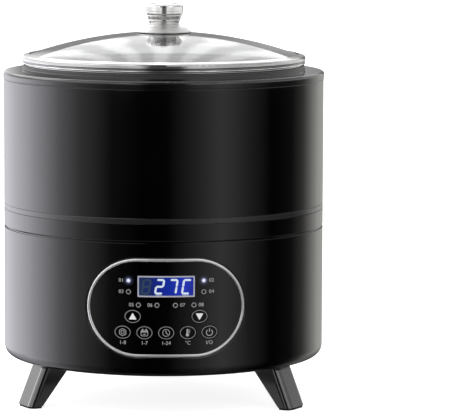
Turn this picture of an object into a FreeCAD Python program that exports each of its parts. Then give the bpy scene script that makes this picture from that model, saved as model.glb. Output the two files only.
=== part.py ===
import FreeCAD, Part
import math
import os

V = FreeCAD.Vector

# Frame: millimetres, +Z up, origin on the table under the middle of the body, front towards -Y.
# Azimuths are degrees round Z from the front, positive towards +X.
UP = V(0, 0, 1)
INWARD = V(0, 1, 0)
SIDEWAYS = V(1, 0, 0)
ORIGIN = V(0, 0, 0)

# Levels above the table
PAD_TOP = 1.6
BASE_BOTTOM = 34.0
SEAM = 135.0
SHELL_BOTTOM = 136.0
BAND_MIDDLE = 151.8
SHELL_TOP = 250.0
SHOULDER = 256.3
COLLAR_STEP = 258.4
COLLAR_TOP = 260.8
FLANGE_TOP = 261.8
RIM_TOP = 267.8
NECK = 292.0
KNOB_TOP = 308.6

# Outer radii
BODY_R = 124.6
TOP_RING_R = 125.0
COLLAR_R = 109.6
RIM_R = 110.3

# Walls, running clearances and edge rounds
HOUSING_WALL = 3.0
SHELL_WALL = 1.6
SLIP = 0.15
RUNNING = 0.35
OVERCUT = 1.0
FINE_EDGE = 0.3
SMALL_EDGE = 0.5
PLAIN_EDGE = 0.9
SEAM_EDGE = 1.4
SHOULDER_EDGE = 2.2
FOOT_EDGE = 8.0

# Screws by size: shank and hole radii
SMALL_SHANK_R, SMALL_HOLE_R = 1.1, 1.4
M3_SHANK_R, M3_HOLE_R = 1.5, 1.8
M4_SHANK_R, M4_HOLE_R = 1.9, 2.2
M5_SHANK_R, M5_HOLE_R = 2.4, 2.8

# Lid glass: part of a ball with a ground lower edge
GLASS_BALL_R = 316.0
GLASS_APEX = 286.2
GLASS_THICK = 4.6
GLASS_UNDER = GLASS_APEX - GLASS_THICK
GLASS_EDGE_R = 108.3
GLASS_GROUND = 2.0
GLASS_HOLE_R = 4.0

# Lid rim: sheet rolled over the glass, a waist under the roll and a bead at its foot
RIM_SHEET = 0.7
RIM_SKIRT_R = 98.8
RIM_SKIRT_DROP = 0.85
RIM_LIP_R = 104.8
RIM_ROLL_LOW, RIM_ROLL_ROUND = 264.2, 1.5
RIM_WAIST_R = 109.3
RIM_BEAD_R, RIM_BEAD_TALL, RIM_BEAD_ROUND = 110.1, 1.5, 0.7

# Knob: flared skirt, tapered grip, washer and screw
KNOB_BORE_R = 2.7
SKIRT_R, SKIRT_FOOT, SKIRT_EDGE_TALL = 21.4, 285.8, 0.8
SKIRT_HOLLOW_R, SKIRT_HOLLOW_EDGE, SKIRT_HOLLOW_TOP = 17.0, 287.4, 288.2
SKIRT_FLARE_R, SKIRT_FLARE_Z, SKIRT_FLARE_ROUND = 16.6, 289.9, 5.0
SKIRT_NECK_R, SKIRT_NECK_Z = 12.0, 290.9
GRIP_WAIST_R, GRIP_R, GRIP_RIM_Z, GRIP_EDGE_Z = 11.4, 14.9, 300.8, 307.4
GRIP_CROWN_R, GRIP_CROWN_ROUND = 6.0, 20.0
GRIP_GROOVES = (295.6, 299.1, 302.5)
GRIP_GROOVE_DEEP = 0.45
GRIP_BORE_TOP = 303.0
WASHER_R, WASHER_THICK, WASHER_GAP = 9.0, 1.2, 0.2
KNOB_SCREW_HEAD_R, KNOB_SCREW_HEAD_TALL, KNOB_SCREW_TIP = 4.8, 2.6, 302.0

# Pot and liner
POT_R = 101.5
POT_SHEET = 1.0
POT_BOTTOM = 92.0
POT_CORNER = 16.0
POT_FLANGE_R = 108.3
POT_LIP_ROUND = 1.4
LINER_R = 104.2
LINER_SHEET = 0.8
LINER_BOTTOM = 90.6
LINER_TOP = 253.8
LINER_FLANGE_R = 110.2
LINER_SCREW_R = 107.2
LINER_SCREW_HEAD_R, LINER_SCREW_HEAD_TALL, LINER_SCREW_TIP = 3.0, 2.2, 258.5
LINER_SCREW_AZIMUTHS = (15, 135, 255)

# Top ring, shell and band
RING_BORE_R = 103.9
RING_STEP = 0.5
RING_GAP = 0.6
RING_LEDGE_R = 124.1
SPIGOT_R, SPIGOT_WALL = 122.6, 2.1
TOP_SPIGOT_LOW = 244.0
BASE_SPIGOT_TOP = 142.0
BASE_LEDGE_R = 123.7
BAND_TALL, BAND_GROOVE_TALL = 4.1, 4.4
BAND_THICK, BAND_GROOVE_DEEP = 0.7, 0.8

# Tie rods between top ring and base housing
TIE_R = 115.0
TIE_AZIMUTHS = (75, 195, 315)
TIE_BRACKET = 112.0
TIE_BRACKET_TALL = 10.0
TIE_BOSS_R = 4.5
TIE_BOSS_LOW = 238.0
TIE_HEAD_ACROSS, TIE_HEAD_TALL, TIE_TIP = 7.6, 3.2, 250.0

# Base plate, legs and pads; the legs stand a little round from the panel's middle
PLATE_R = 112.7
PLATE_THICK = 2.5
PLATE_TOP = BASE_BOTTOM + PLATE_THICK
PLATE_SCREW_R = 100.0
PLATE_SCREW_AZIMUTHS = (0, 120, 240)
PLATE_SCREW_HEAD_R, PLATE_SCREW_HEAD_TALL, PLATE_SCREW_TIP = 3.6, 1.8, 45.0
BOSS_TOP = 48.0
RIB_WIDE, RIB_TALL, RIB_REACH_R = 3.0, 10.0, 122.5
VENT_WIDE, VENT_LONG, VENT_R, VENT_STEP = 3.0, 17.0, 66.0, 15
LEG_TURN = -3
LEG_AZIMUTHS = {"left": LEG_TURN - 60, "right": LEG_TURN + 60, "rear": LEG_TURN + 180}
LEG_WIDE, LEG_EDGE, LEG_BACK_EDGE = 25.0, 5.5, 1.6
LEG_TOP_DEEP, LEG_TOP_OUT = 23.8, 108.8
LEG_FOOT_DEEP, LEG_FOOT_OUT = 11.4, 122.2
PAD_INSET = 0.6
LEG_BOLT_R = 103.5
LEG_BOLT_TIP = 22.0
LEG_BOLT_ACROSS, LEG_BOLT_HEAD_TALL = 9.2, 3.5

# Control panel, centred on the front; prisms for it run between these two planes
OUTSIDE_Y = -130.0
INSIDE_Y = -95.0
PANEL_Z = 86.7
TRIM_WIDE, TRIM_TALL, TRIM_BAND = 118.0, 74.4, 2.3
TRIM_EDGE = 1.05
LEDGE = 2.0
TRIM_SEAT_R = 123.2
TRIM_BACK_R = TRIM_SEAT_R + 0.05
TRIM_FRONT_R = 125.1
FASCIA_FRONT_R = 124.5
FASCIA_BACK_R = 122.0
KEY_WIDE, KEY_TALL = 12.8, 10.5
KEY_FRONT_R = 124.9
KEY_EDGE = 0.4
KEY_LIP = 0.9
KEY_LIP_THICK = 1.2
KEY_TIP_R = 2.0
KEY_TIP_GAP = 0.05
KEY_GUIDE_WALL = 1.3
KEY_TRAVEL = 0.6
KEY_STOP_Y = -114.5
KEYS = {
    "key_up": (-25.0, 80.3),
    "key_down": (25.0, 80.3),
    "key_function": (-32.5, 68.2),
    "key_days": (-16.25, 68.2),
    "key_hours": (0.0, 68.2),
    "key_temperature": (16.25, 68.2),
    "key_power": (32.5, 68.2),
}
DISPLAY_Z = 103.0
DISPLAY_WIDE, DISPLAY_TALL, DISPLAY_BORDER = 42.8, 15.9, 1.0
DISPLAY_PROUD, WINDOW_SUNK, WINDOW_BACK = 0.15, 0.1, 0.3
LCD_WIDE, LCD_TALL, LCD_FRONT_Y, LCD_BACK_Y = 46.0, 19.0, -119.0, -112.0
LCD_ROW_WIDE, LCD_ROW_TALL, LCD_ROW_OFFSET = 40.0, 1.2, 8.0
INDICATOR_R = 2.1
LENS_PROUD = 0.1
INDICATORS = [(-28.2, 107.3), (28.2, 107.3), (-28.2, 98.8), (28.2, 98.8)]
INDICATORS += [(x, 89.0) for x in (-20.8, -6.9, 6.9, 20.8)]
LED_WIDE, LED_TALL, LED_DEEP = 3.2, 2.6, 1.9
LENS_BACK_GAP = 3.5
BOARD_WIDE, BOARD_TALL, BOARD_Z = 84.0, 64.0, 85.2
BOARD_FRONT_Y = -107.8
BOARD_THICK = 1.6
BOARD_BACK_Y = BOARD_FRONT_Y + BOARD_THICK
BOARD_CORNER = 1.5
BOARD_POSTS = [(-26.0, 59.0), (26.0, 59.0), (-35.0, 112.0), (35.0, 112.0)]
BOARD_POST_R = 2.6
BOARD_SCREW_HEAD_R, BOARD_SCREW_HEAD_TALL, BOARD_SCREW_LONG = 2.4, 1.6, 5.0
SWITCH_SIDE, SWITCH_DEEP, SWITCH_STEM_R = 6.0, 3.5, 1.7
SWITCH_TOP_Y = BOARD_FRONT_Y - 4.3

# Heater under the liner
HEATER_R = 62.0
HEATER_BORE_R = 9.0
HEATER_THICK = 4.2
HEATER_BOTTOM = LINER_BOTTOM - HEATER_THICK
ELEMENT_R = 44.0
ELEMENT_TUBE_R = 3.1
ELEMENT_LEVEL = HEATER_BOTTOM - 0.5
ELEMENT_GAP = 15.0
ELEMENT_PIN_R, ELEMENT_PIN_LONG = 1.6, 9.0
HEATER_SCREW_R = 54.0
HEATER_SCREW_HEAD_R, HEATER_SCREW_HEAD_TALL, HEATER_SCREW_TIP = 3.6, 2.6, 90.4
HEATER_SCREW_AZIMUTHS = (30, 150, 270)
BRACKET_LOW, BRACKET_SHEET = 78.0, 1.0
BRACKET_WIDE, BRACKET_DEEP = 62.0, 12.0
SENSOR_R, SENSOR_FLANGE_R, SENSOR_FLANGE_TALL, SENSOR_GAP = 4.0, 5.6, 2.0, 0.1
SENSOR_HOLE_R = 2.0
FUSE_R, FUSE_LONG, FUSE_Y, FUSE_Z = 2.2, 15.0, 24.0, 83.6
CLIP_WIDE, CLIP_DEEP, CLIP_LOW, CLIP_GAP = 6.0, 10.0, 80.4, 0.2

# Power board on posts of the base plate, and what stands on it
POWER_BOARD_Z = 48.0
POWER_BOARD_WIDE, POWER_BOARD_DEEP = 96.0, 66.0
POWER_BOARD_Y = 22.0
POWER_POSTS = [(x, POWER_BOARD_Y + y) for x in (-43.0, 43.0) for y in (-28.0, 28.0)]
POWER_POST_R = 3.6
POWER_SCREW_HEAD_R, POWER_SCREW_HEAD_TALL, POWER_SCREW_LONG = 2.8, 1.8, 7.0
POWER_TOP = POWER_BOARD_Z + BOARD_THICK
TRANSFORMER_X, TRANSFORMER_Y = -22.0, 16.0
CORE_WIDE, CORE_DEEP, CORE_TALL, CORE_LEG = 30.0, 12.0, 25.0, 5.0
WINDING_WIDE, WINDING_DEEP, WINDING_GAP = 19.0, 22.0, 0.5
RELAY_SIZE, RELAY_X, RELAY_Y = (19.0, 15.5, 15.0), 12.0, 38.0
CAPACITOR_R, CAPACITOR_TALL, CAPACITOR_Y, CAPACITOR_XS = 5.0, 17.0, 4.0, (2.0, 14.0)
TERMINAL_SIZE, TERMINAL_IN, TERMINAL_PORT_R = (11.0, 34.0, 11.0), 8.0, 1.7
PORT_FLOOR = POWER_TOP + 6.0

# Leads: radius and bend
HEATER_LEAD_R, HEATER_LEAD_BEND, HEATER_LEAD_RISE = 1.2, 3.0, 20.0
SENSOR_LEAD_R, SENSOR_LEAD_BEND, SENSOR_LEAD_Y, SENSOR_LEAD_Z = 1.0, 4.0, 12.0, 70.0
INLET_LEAD_R, INLET_LEAD_BEND, INLET_LEAD_Y = 1.3, 5.0, 51.0
RIBBON_WIDE, RIBBON_THICK, RIBBON_LOW, RIBBON_NEAR, RIBBON_FAR = 14.0, 1.0, 62.0, -3.0, -103.5
RIBBON_PLUG_Z, RIBBON_BEND = 72.0, 2.5

# Appliance inlet at the back
BEHIND_Y = 130.0
INLET_Z = 64.0
INLET_SEAT_Y = 121.2
INLET_FLANGE_WIDE, INLET_FLANGE_TALL, INLET_FLANGE_THICK = 30.5, 23.5, 2.0
INLET_WIDE, INLET_TALL, INLET_LONG = 27.0, 20.0, 23.0
INLET_MOUTH_WIDE, INLET_MOUTH_TALL, INLET_MOUTH_DEEP, INLET_MOUTH_SLOPE = 24.2, 16.6, 15.5, 4.5
INLET_CORNER, INLET_MOUTH_CORNER = 2.0, 1.0
INLET_PAD_MORE, INLET_PAD_THICK, INLET_PAD_OUT_Y = 7.0, 3.0, 123.5
INLET_PINS = [(-7.0, -2.0), (7.0, -2.0), (0.0, 2.0)]
PIN_WIDE, PIN_TALL = 2.0, 4.0
PIN_TIP_Y, PIN_TAIL_Y = 120.0, 91.0


def corner_arc(before, here, after, radius):
    """Start, middle and end of the arc that rounds one corner; three equal points when it stays sharp."""
    if radius <= 0:
        return here, here, here
    back = (before - here).normalize()
    ahead = (after - here).normalize()
    half = back.getAngle(ahead) / 2
    reach = radius / math.tan(half)
    depth = radius / math.sin(half) - radius
    bisector = (back + ahead).normalize()
    return here + back * reach, here + bisector * depth, here + ahead * reach


def rounded_wire(corners, closed=True):
    """Wire through (point, radius) corners with an arc of that radius at each."""
    same = 1e-6
    count = len(corners)
    arcs = []
    for i, (here, radius) in enumerate(corners):
        end_of_path = not closed and i in (0, count - 1)
        before = corners[i - 1][0]
        after = corners[(i + 1) % count][0]
        arcs.append(corner_arc(before, here, after, 0 if end_of_path else radius))
    edges = []
    for i, (start, middle, end) in enumerate(arcs):
        if start.distanceToPoint(end) > same:
            edges.append(Part.Arc(start, middle, end).toShape())
        if i == count - 1 and not closed:
            break
        following = arcs[(i + 1) % count][0]
        if end.distanceToPoint(following) > same:
            edges.append(Part.LineSegment(end, following).toShape())
    return Part.Wire(edges)


def outline(corners, place):
    """Closed wire from (u, v) or (u, v, radius) corners put in space by place."""
    return rounded_wire([(place(c[0], c[1]), c[2] if len(c) > 2 else 0) for c in corners])


def turned(corners):
    """Solid of revolution round Z from an (r, z[, radius]) section."""
    section = outline(corners, lambda r, z: V(r, 0, z))
    return Part.Face(section).revolve(ORIGIN, UP, 360)


def pulled_front(corners, y0, y1):
    """Prism along Y from an (x, z[, radius]) outline."""
    wire = outline(corners, lambda x, z: V(x, y0, z))
    return Part.Face(wire).extrude(V(0, y1 - y0, 0))


def box_corners(wide, tall, x, z, radius=0):
    """Corners of a rectangle round (x, z)."""
    half_w, half_t = wide / 2, tall / 2
    signs = ((-1, -1), (1, -1), (1, 1), (-1, 1))
    return [(x + sx * half_w, z + sz * half_t, radius) for sx, sz in signs]


def plate_front(wide, tall, x, z, y0, y1, radius=0):
    """Rectangular prism along Y with rounded corners."""
    return pulled_front(box_corners(wide, tall, x, z, radius), y0, y1)


def stadium(wide, tall):
    """Prism with half-round ends at the panel's place."""
    return plate_front(wide, tall, 0, PANEL_Z, OUTSIDE_Y, INSIDE_Y, tall / 2)


def oval(x, z, wide, tall, y0, y1):
    """Elliptical prism along Y."""
    middle = V(x, y0, z)
    ellipse = Part.Ellipse(middle + V(wide / 2, 0, 0), middle + V(0, 0, tall / 2), middle)
    return Part.Face(Part.Wire(ellipse.toShape())).extrude(V(0, y1 - y0, 0))


def rod_y(x, z, radius, y0, y1):
    """Round bar along Y."""
    return Part.makeCylinder(radius, y1 - y0, V(x, y0, z), INWARD)


def post(radius, z0, z1, x=0.0, y=0.0):
    """Upright round bar."""
    return Part.makeCylinder(radius, z1 - z0, V(x, y, z0), UP)


def block(wide, deep, tall, x, y, z):
    """Box centred on x and y that stands on z."""
    return Part.makeBox(wide, deep, tall, V(x - wide / 2, y - deep / 2, z))


def rib(reach, tall, y, z):
    """Upright rib behind the wall, from y outwards."""
    return Part.makeBox(RIB_WIDE, reach, tall, V(-RIB_WIDE / 2, y - reach, z))


def drum(radius):
    """Tall cylinder that trims panel parts to the body's curve."""
    return post(radius, 0, SHELL_TOP)


def curved_plate(prism, inner_r, outer_r):
    """The part of a prism between two cylinders round the body's axis."""
    return prism.common(drum(outer_r)).cut(drum(inner_r))


def around(shape, azimuths):
    """Copies of a shape made at the front, turned to each azimuth."""
    copies = []
    for azimuth in azimuths:
        turn = shape.copy()
        turn.rotate(ORIGIN, UP, azimuth)
        copies.append(turn)
    return copies


def hex_bolt(y, head_z, across, head_tall, shank_r, shank_z0, shank_z1):
    """Upright bolt at (0, y) with a hexagon head and a plain shank."""
    corners = []
    for step in range(6):
        angle = math.radians(60 * step)
        corners.append((V(across / 2 * math.cos(angle), y + across / 2 * math.sin(angle), head_z), 0))
    head = Part.Face(rounded_wire(corners)).extrude(V(0, 0, head_tall))
    return head.fuse(post(shank_r, shank_z0, shank_z1, 0, y)).removeSplitter()


def round_screw(x, y, head_z0, head_z1, head_r, shank_r, shank_z0, shank_z1):
    """Upright screw with a round head and a plain shank."""
    return post(head_r, head_z0, head_z1, x, y).fuse(post(shank_r, shank_z0, shank_z1, x, y))


def lead(points, radius, bend):
    """Round wire swept along a path with bent corners."""
    path = rounded_wire([(point, bend) for point in points], closed=False)
    heading = (points[1] - points[0]).normalize()
    ring = Part.Wire(Part.makeCircle(radius, points[0], heading))
    return path.makePipeShell([ring], True, False)


def soften(shape, edges, radius):
    """The shape with the given edges rounded."""
    return shape.makeFillet(radius, edges)


def recess_edges(shape, radius, wide):
    """Edges that run round the panel on the cylinder of the given radius."""
    near = 0.01
    found = []
    for edge in shape.Edges:
        points = edge.discretize(5)
        on_curve = all(abs(math.hypot(p.x, p.y) - radius) < near for p in points)
        on_panel = all(p.y < 0 and abs(p.x) < (wide + SLIP) / 2 for p in points)
        in_height = all(abs(p.z - PANEL_Z) < TRIM_TALL / 2 + OVERCUT for p in points)
        if on_curve and on_panel and in_height:
            found.append(edge)
    return found


def glass_z(radius, ball_r=GLASS_BALL_R):
    """Height of the lid's ball surface at a radius."""
    return GLASS_APEX - GLASS_BALL_R + math.sqrt(ball_r ** 2 - radius ** 2)


def lid_glass():
    """Domed glass with a hole for the knob's screw."""
    under_ball = GLASS_BALL_R - GLASS_THICK
    ground_r = GLASS_EDGE_R - GLASS_GROUND
    middle_r = GLASS_EDGE_R / 2
    top = [V(r, 0, glass_z(r)) for r in (GLASS_HOLE_R, middle_r, GLASS_EDGE_R)]
    low = [V(r, 0, glass_z(r, under_ball)) for r in (ground_r, middle_r, GLASS_HOLE_R)]
    side = V(GLASS_EDGE_R, 0, low[0].z + GLASS_GROUND)
    edges = [
        Part.Arc(*top).toShape(),
        Part.LineSegment(top[2], side).toShape(),
        Part.LineSegment(side, low[0]).toShape(),
        Part.Arc(*low).toShape(),
        Part.LineSegment(low[2], top[0]).toShape(),
    ]
    return Part.Face(Part.Wire(edges)).revolve(ORIGIN, UP, 360)


def lid_rim():
    """Rolled steel rim that clasps the glass, with a bead and a locating step below."""
    skirt_low = FLANGE_TOP - RIM_SKIRT_DROP
    lip_under = glass_z(RIM_LIP_R) + SLIP
    wall_in = RIM_WAIST_R - RIM_SHEET
    bead_top = FLANGE_TOP + RIM_BEAD_TALL
    floor = FLANGE_TOP + RIM_SHEET
    return turned([
        (RIM_SKIRT_R, skirt_low),
        (RIM_SKIRT_R + RIM_SHEET, skirt_low),
        (RIM_SKIRT_R + RIM_SHEET, FLANGE_TOP),
        (RIM_BEAD_R, FLANGE_TOP, RIM_BEAD_ROUND),
        (RIM_BEAD_R, bead_top, RIM_BEAD_ROUND),
        (RIM_WAIST_R, bead_top),
        (RIM_WAIST_R, RIM_ROLL_LOW),
        (RIM_R, RIM_ROLL_LOW, RIM_BEAD_ROUND),
        (RIM_R, RIM_TOP, RIM_ROLL_ROUND),
        (RIM_LIP_R, lip_under + RIM_SHEET),
        (RIM_LIP_R, lip_under),
        (wall_in, RIM_TOP - RIM_SHEET),
        (wall_in, floor),
        (RIM_SKIRT_R, floor),
    ])


def knob_skirt():
    """Flared foot of the knob, hollow underneath."""
    return turned([
        (KNOB_BORE_R, SKIRT_HOLLOW_TOP),
        (SKIRT_HOLLOW_R, SKIRT_HOLLOW_EDGE),
        (SKIRT_R - SKIRT_EDGE_TALL, SKIRT_FOOT),
        (SKIRT_R, SKIRT_FOOT, FINE_EDGE),
        (SKIRT_R, SKIRT_FOOT + SKIRT_EDGE_TALL, FINE_EDGE),
        (SKIRT_FLARE_R, SKIRT_FLARE_Z, SKIRT_FLARE_ROUND),
        (SKIRT_NECK_R, SKIRT_NECK_Z, SMALL_EDGE),
        (SKIRT_NECK_R, NECK),
        (KNOB_BORE_R, NECK),
    ])


def grip_r(z):
    """Radius of the grip at a height: a taper up to its rim, straight above."""
    return GRIP_WAIST_R + (GRIP_R - GRIP_WAIST_R) * min(1, (z - NECK) / (GRIP_RIM_Z - NECK))


def groove(level):
    """Corners of one turned V groove in the grip."""
    deep = GRIP_GROOVE_DEEP
    below, above = level - deep, level + deep
    return [(grip_r(below), below), (grip_r(level) - deep, level), (grip_r(above), above)]


def knob_grip():
    """Tapered grip with turned grooves and a crowned top."""
    section = [(KNOB_BORE_R, NECK), (GRIP_WAIST_R, NECK, FINE_EDGE)]
    for level in GRIP_GROOVES[:2]:
        section += groove(level)
    section += [
        (GRIP_R, GRIP_RIM_Z),
        *groove(GRIP_GROOVES[2]),
        (GRIP_R, GRIP_EDGE_Z, SHOULDER_EDGE),
        (GRIP_CROWN_R, KNOB_TOP, GRIP_CROWN_ROUND),
        (0, KNOB_TOP),
        (0, GRIP_BORE_TOP),
        (KNOB_BORE_R, GRIP_BORE_TOP),
    ]
    return turned(section)


def knob_washer():
    """Rubber washer under the glass."""
    top = GLASS_UNDER - WASHER_GAP
    low = top - WASHER_THICK
    return post(WASHER_R, low, top).cut(post(KNOB_BORE_R, low - OVERCUT, top + OVERCUT))


def knob_screw():
    """Screw that draws the knob on to the glass."""
    head_top = GLASS_UNDER - WASHER_GAP - WASHER_THICK
    head_low = head_top - KNOB_SCREW_HEAD_TALL
    return round_screw(0, 0, head_low, head_top, KNOB_SCREW_HEAD_R, M5_SHANK_R, head_low, KNOB_SCREW_TIP)


def inner_pot():
    """Drawn steel pot with a flat flange."""
    inside = POT_R - POT_SHEET
    return turned([
        (0, POT_BOTTOM),
        (POT_R, POT_BOTTOM, POT_CORNER),
        (POT_R, COLLAR_TOP, SMALL_EDGE),
        (POT_FLANGE_R, COLLAR_TOP, FINE_EDGE),
        (POT_FLANGE_R, FLANGE_TOP, FINE_EDGE),
        (inside, FLANGE_TOP, POT_LIP_ROUND),
        (inside, POT_BOTTOM + POT_SHEET, POT_CORNER - POT_SHEET),
        (0, POT_BOTTOM + POT_SHEET),
    ])


def top_ring():
    """Ring that closes the body's top: collar, shoulder, spigot and bosses."""
    spigot_in = SPIGOT_R - SPIGOT_WALL
    skirt_low = SHELL_TOP + RING_GAP
    ring = turned([
        (RING_BORE_R, LINER_TOP),
        (RING_BORE_R, COLLAR_TOP, PLAIN_EDGE),
        (COLLAR_R, COLLAR_TOP, PLAIN_EDGE),
        (COLLAR_R, COLLAR_STEP),
        (COLLAR_R + RING_STEP, COLLAR_STEP - RING_STEP),
        (COLLAR_R + RING_STEP, SHOULDER),
        (TOP_RING_R, SHOULDER, SHOULDER_EDGE),
        (TOP_RING_R, skirt_low, FINE_EDGE),
        (RING_LEDGE_R, skirt_low),
        (RING_LEDGE_R, SHELL_TOP),
        (SPIGOT_R, SHELL_TOP),
        (SPIGOT_R, TOP_SPIGOT_LOW),
        (spigot_in, TOP_SPIGOT_LOW),
        (spigot_in, LINER_TOP),
    ])
    boss = post(TIE_BOSS_R, TIE_BOSS_LOW, LINER_TOP + SMALL_EDGE, 0, -TIE_R)
    ring = ring.fuse(around(boss, TIE_AZIMUTHS))
    tie_hole = post(M4_HOLE_R, TIE_BOSS_LOW - OVERCUT, TIE_TIP + OVERCUT, 0, -TIE_R)
    screw_hole = post(M3_HOLE_R, LINER_TOP - OVERCUT, LINER_SCREW_TIP + SMALL_EDGE, 0, -LINER_SCREW_R)
    holes = around(tie_hole, TIE_AZIMUTHS) + around(screw_hole, LINER_SCREW_AZIMUTHS)
    return ring.cut(holes).removeSplitter()


def upper_shell():
    """Thin upper wall with a groove for the band."""
    inside = BODY_R - SHELL_WALL
    groove_r = BODY_R - BAND_GROOVE_DEEP
    groove_low = BAND_MIDDLE - BAND_GROOVE_TALL / 2
    groove_high = BAND_MIDDLE + BAND_GROOVE_TALL / 2
    return turned([
        (inside, SHELL_BOTTOM),
        (BODY_R, SHELL_BOTTOM, SEAM_EDGE),
        (BODY_R, groove_low),
        (groove_r, groove_low),
        (groove_r, groove_high),
        (BODY_R, groove_high),
        (BODY_R, SHELL_TOP, FINE_EDGE),
        (inside, SHELL_TOP),
    ])


def trim_band():
    """Flush band in the shell's groove."""
    inside = BODY_R - BAND_THICK
    low, high = BAND_MIDDLE - BAND_TALL / 2, BAND_MIDDLE + BAND_TALL / 2
    return turned([(inside, low), (BODY_R, low, FINE_EDGE), (BODY_R, high, FINE_EDGE), (inside, high)])


def well_liner():
    """Thin well that the pot stands in, hung by its flange."""
    inside = LINER_R - LINER_SHEET
    liner = turned([
        (0, LINER_BOTTOM),
        (LINER_R, LINER_BOTTOM, POT_CORNER),
        (LINER_R, LINER_TOP - LINER_SHEET),
        (LINER_FLANGE_R, LINER_TOP - LINER_SHEET),
        (LINER_FLANGE_R, LINER_TOP),
        (inside, LINER_TOP),
        (inside, LINER_BOTTOM + LINER_SHEET, POT_CORNER - LINER_SHEET),
        (0, LINER_BOTTOM + LINER_SHEET),
    ])
    hole = post(M3_HOLE_R, LINER_TOP - LINER_SHEET - OVERCUT, LINER_TOP + OVERCUT, 0, -LINER_SCREW_R)
    return liner.cut(around(hole, LINER_SCREW_AZIMUTHS))


def liner_screws():
    """Screws that hang the liner from the top ring."""
    head_z = LINER_TOP - LINER_SHEET
    head_low = head_z - LINER_SCREW_HEAD_TALL
    y = -LINER_SCREW_R
    screw = round_screw(0, y, head_low, head_z, LINER_SCREW_HEAD_R, M3_SHANK_R, head_low, LINER_SCREW_TIP)
    return Part.makeCompound(around(screw, LINER_SCREW_AZIMUTHS))


def tie_rods():
    """Long bolts that hold the top ring, shell and base together."""
    head_low = TIE_BRACKET - TIE_HEAD_TALL
    rod = hex_bolt(-TIE_R, head_low, TIE_HEAD_ACROSS, TIE_HEAD_TALL, M4_SHANK_R, head_low, TIE_TIP)
    return Part.makeCompound(around(rod, TIE_AZIMUTHS))


def panel_recess():
    """What the housing loses for the panel: a seat for trim and fascia, and a hole through the wall."""
    seat = stadium(TRIM_WIDE + 2 * SLIP, TRIM_TALL + 2 * SLIP).cut(drum(TRIM_SEAT_R))
    narrower = 2 * (TRIM_BAND + LEDGE)
    return seat.fuse(stadium(TRIM_WIDE - narrower, TRIM_TALL - narrower))


def inlet_cut():
    """What the housing loses for the inlet: a flat seat and a hole through the wall."""
    seat_wide, seat_tall = INLET_FLANGE_WIDE + OVERCUT, INLET_FLANGE_TALL + OVERCUT
    seat = plate_front(seat_wide, seat_tall, 0, INLET_Z, INLET_SEAT_Y, BEHIND_Y, INLET_CORNER)
    inside_y = INLET_SEAT_Y - INLET_LONG
    hole = plate_front(INLET_WIDE + 2 * SLIP, INLET_TALL + 2 * SLIP, 0, INLET_Z, inside_y, BEHIND_Y)
    return seat.fuse(hole)


def housing_wall():
    """Turned wall of the base with a rounded foot and a spigot for the shell."""
    inside = BODY_R - HOUSING_WALL
    spigot_in = SPIGOT_R - SPIGOT_WALL
    lip_r = PLATE_R + FINE_EDGE
    spigot_foot = SEAM - HOUSING_WALL
    return turned([
        (lip_r, BASE_BOTTOM),
        (BODY_R, BASE_BOTTOM, FOOT_EDGE),
        (BODY_R, SEAM),
        (BASE_LEDGE_R, SEAM),
        (BASE_LEDGE_R, SHELL_BOTTOM),
        (SPIGOT_R, SHELL_BOTTOM),
        (SPIGOT_R, BASE_SPIGOT_TOP),
        (spigot_in, BASE_SPIGOT_TOP),
        (spigot_in, spigot_foot),
        (inside, spigot_foot - OVERCUT),
        (inside, PLATE_TOP, FOOT_EDGE - HOUSING_WALL),
        (lip_r, PLATE_TOP),
    ])


def base_housing():
    """Base body: wall, screw bosses, tie brackets, panel recess and inlet seat."""
    boss = post(TIE_BOSS_R, PLATE_TOP, BOSS_TOP, 0, -PLATE_SCREW_R)
    boss_rib = rib(RIB_REACH_R - PLATE_SCREW_R, RIB_TALL, -PLATE_SCREW_R, PLATE_TOP + OVERCUT)
    bracket = post(TIE_BOSS_R, TIE_BRACKET, TIE_BRACKET + TIE_BRACKET_TALL, 0, -TIE_R)
    bracket_rib = rib(RIB_REACH_R - TIE_R, TIE_BRACKET_TALL, -TIE_R, TIE_BRACKET)
    pad_wide, pad_tall = INLET_FLANGE_WIDE + INLET_PAD_MORE, INLET_FLANGE_TALL + INLET_PAD_MORE
    pad_in_y = INLET_SEAT_Y - INLET_PAD_THICK
    inlet_pad = plate_front(pad_wide, pad_tall, 0, INLET_Z, pad_in_y, INLET_PAD_OUT_Y, INLET_PAD_THICK)
    adds = around(boss, PLATE_SCREW_AZIMUTHS) + around(boss_rib, PLATE_SCREW_AZIMUTHS)
    adds += around(bracket, TIE_AZIMUTHS) + around(bracket_rib, TIE_AZIMUTHS) + [inlet_pad]
    housing = housing_wall().fuse(adds)
    boss_hole = post(M4_HOLE_R, PLATE_TOP - OVERCUT, BOSS_TOP - OVERCUT, 0, -PLATE_SCREW_R)
    bracket_top = TIE_BRACKET + TIE_BRACKET_TALL
    tie_hole = post(M4_HOLE_R, TIE_BRACKET - OVERCUT, bracket_top + OVERCUT, 0, -TIE_R)
    cuts = around(boss_hole, PLATE_SCREW_AZIMUTHS) + around(tie_hole, TIE_AZIMUTHS)
    housing = housing.cut(cuts + [panel_recess(), inlet_cut()]).removeSplitter()
    return soften(housing, recess_edges(housing, BODY_R, TRIM_WIDE + 2 * SLIP), PLAIN_EDGE)


def plan_slot(wide, long, z, tall, y):
    """Upright prism over a slot that runs along Y."""
    corners = box_corners(wide, long, 0, y, wide / 2)
    return Part.Face(outline(corners, lambda u, v: V(u, v, z))).extrude(V(0, 0, tall))


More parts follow.
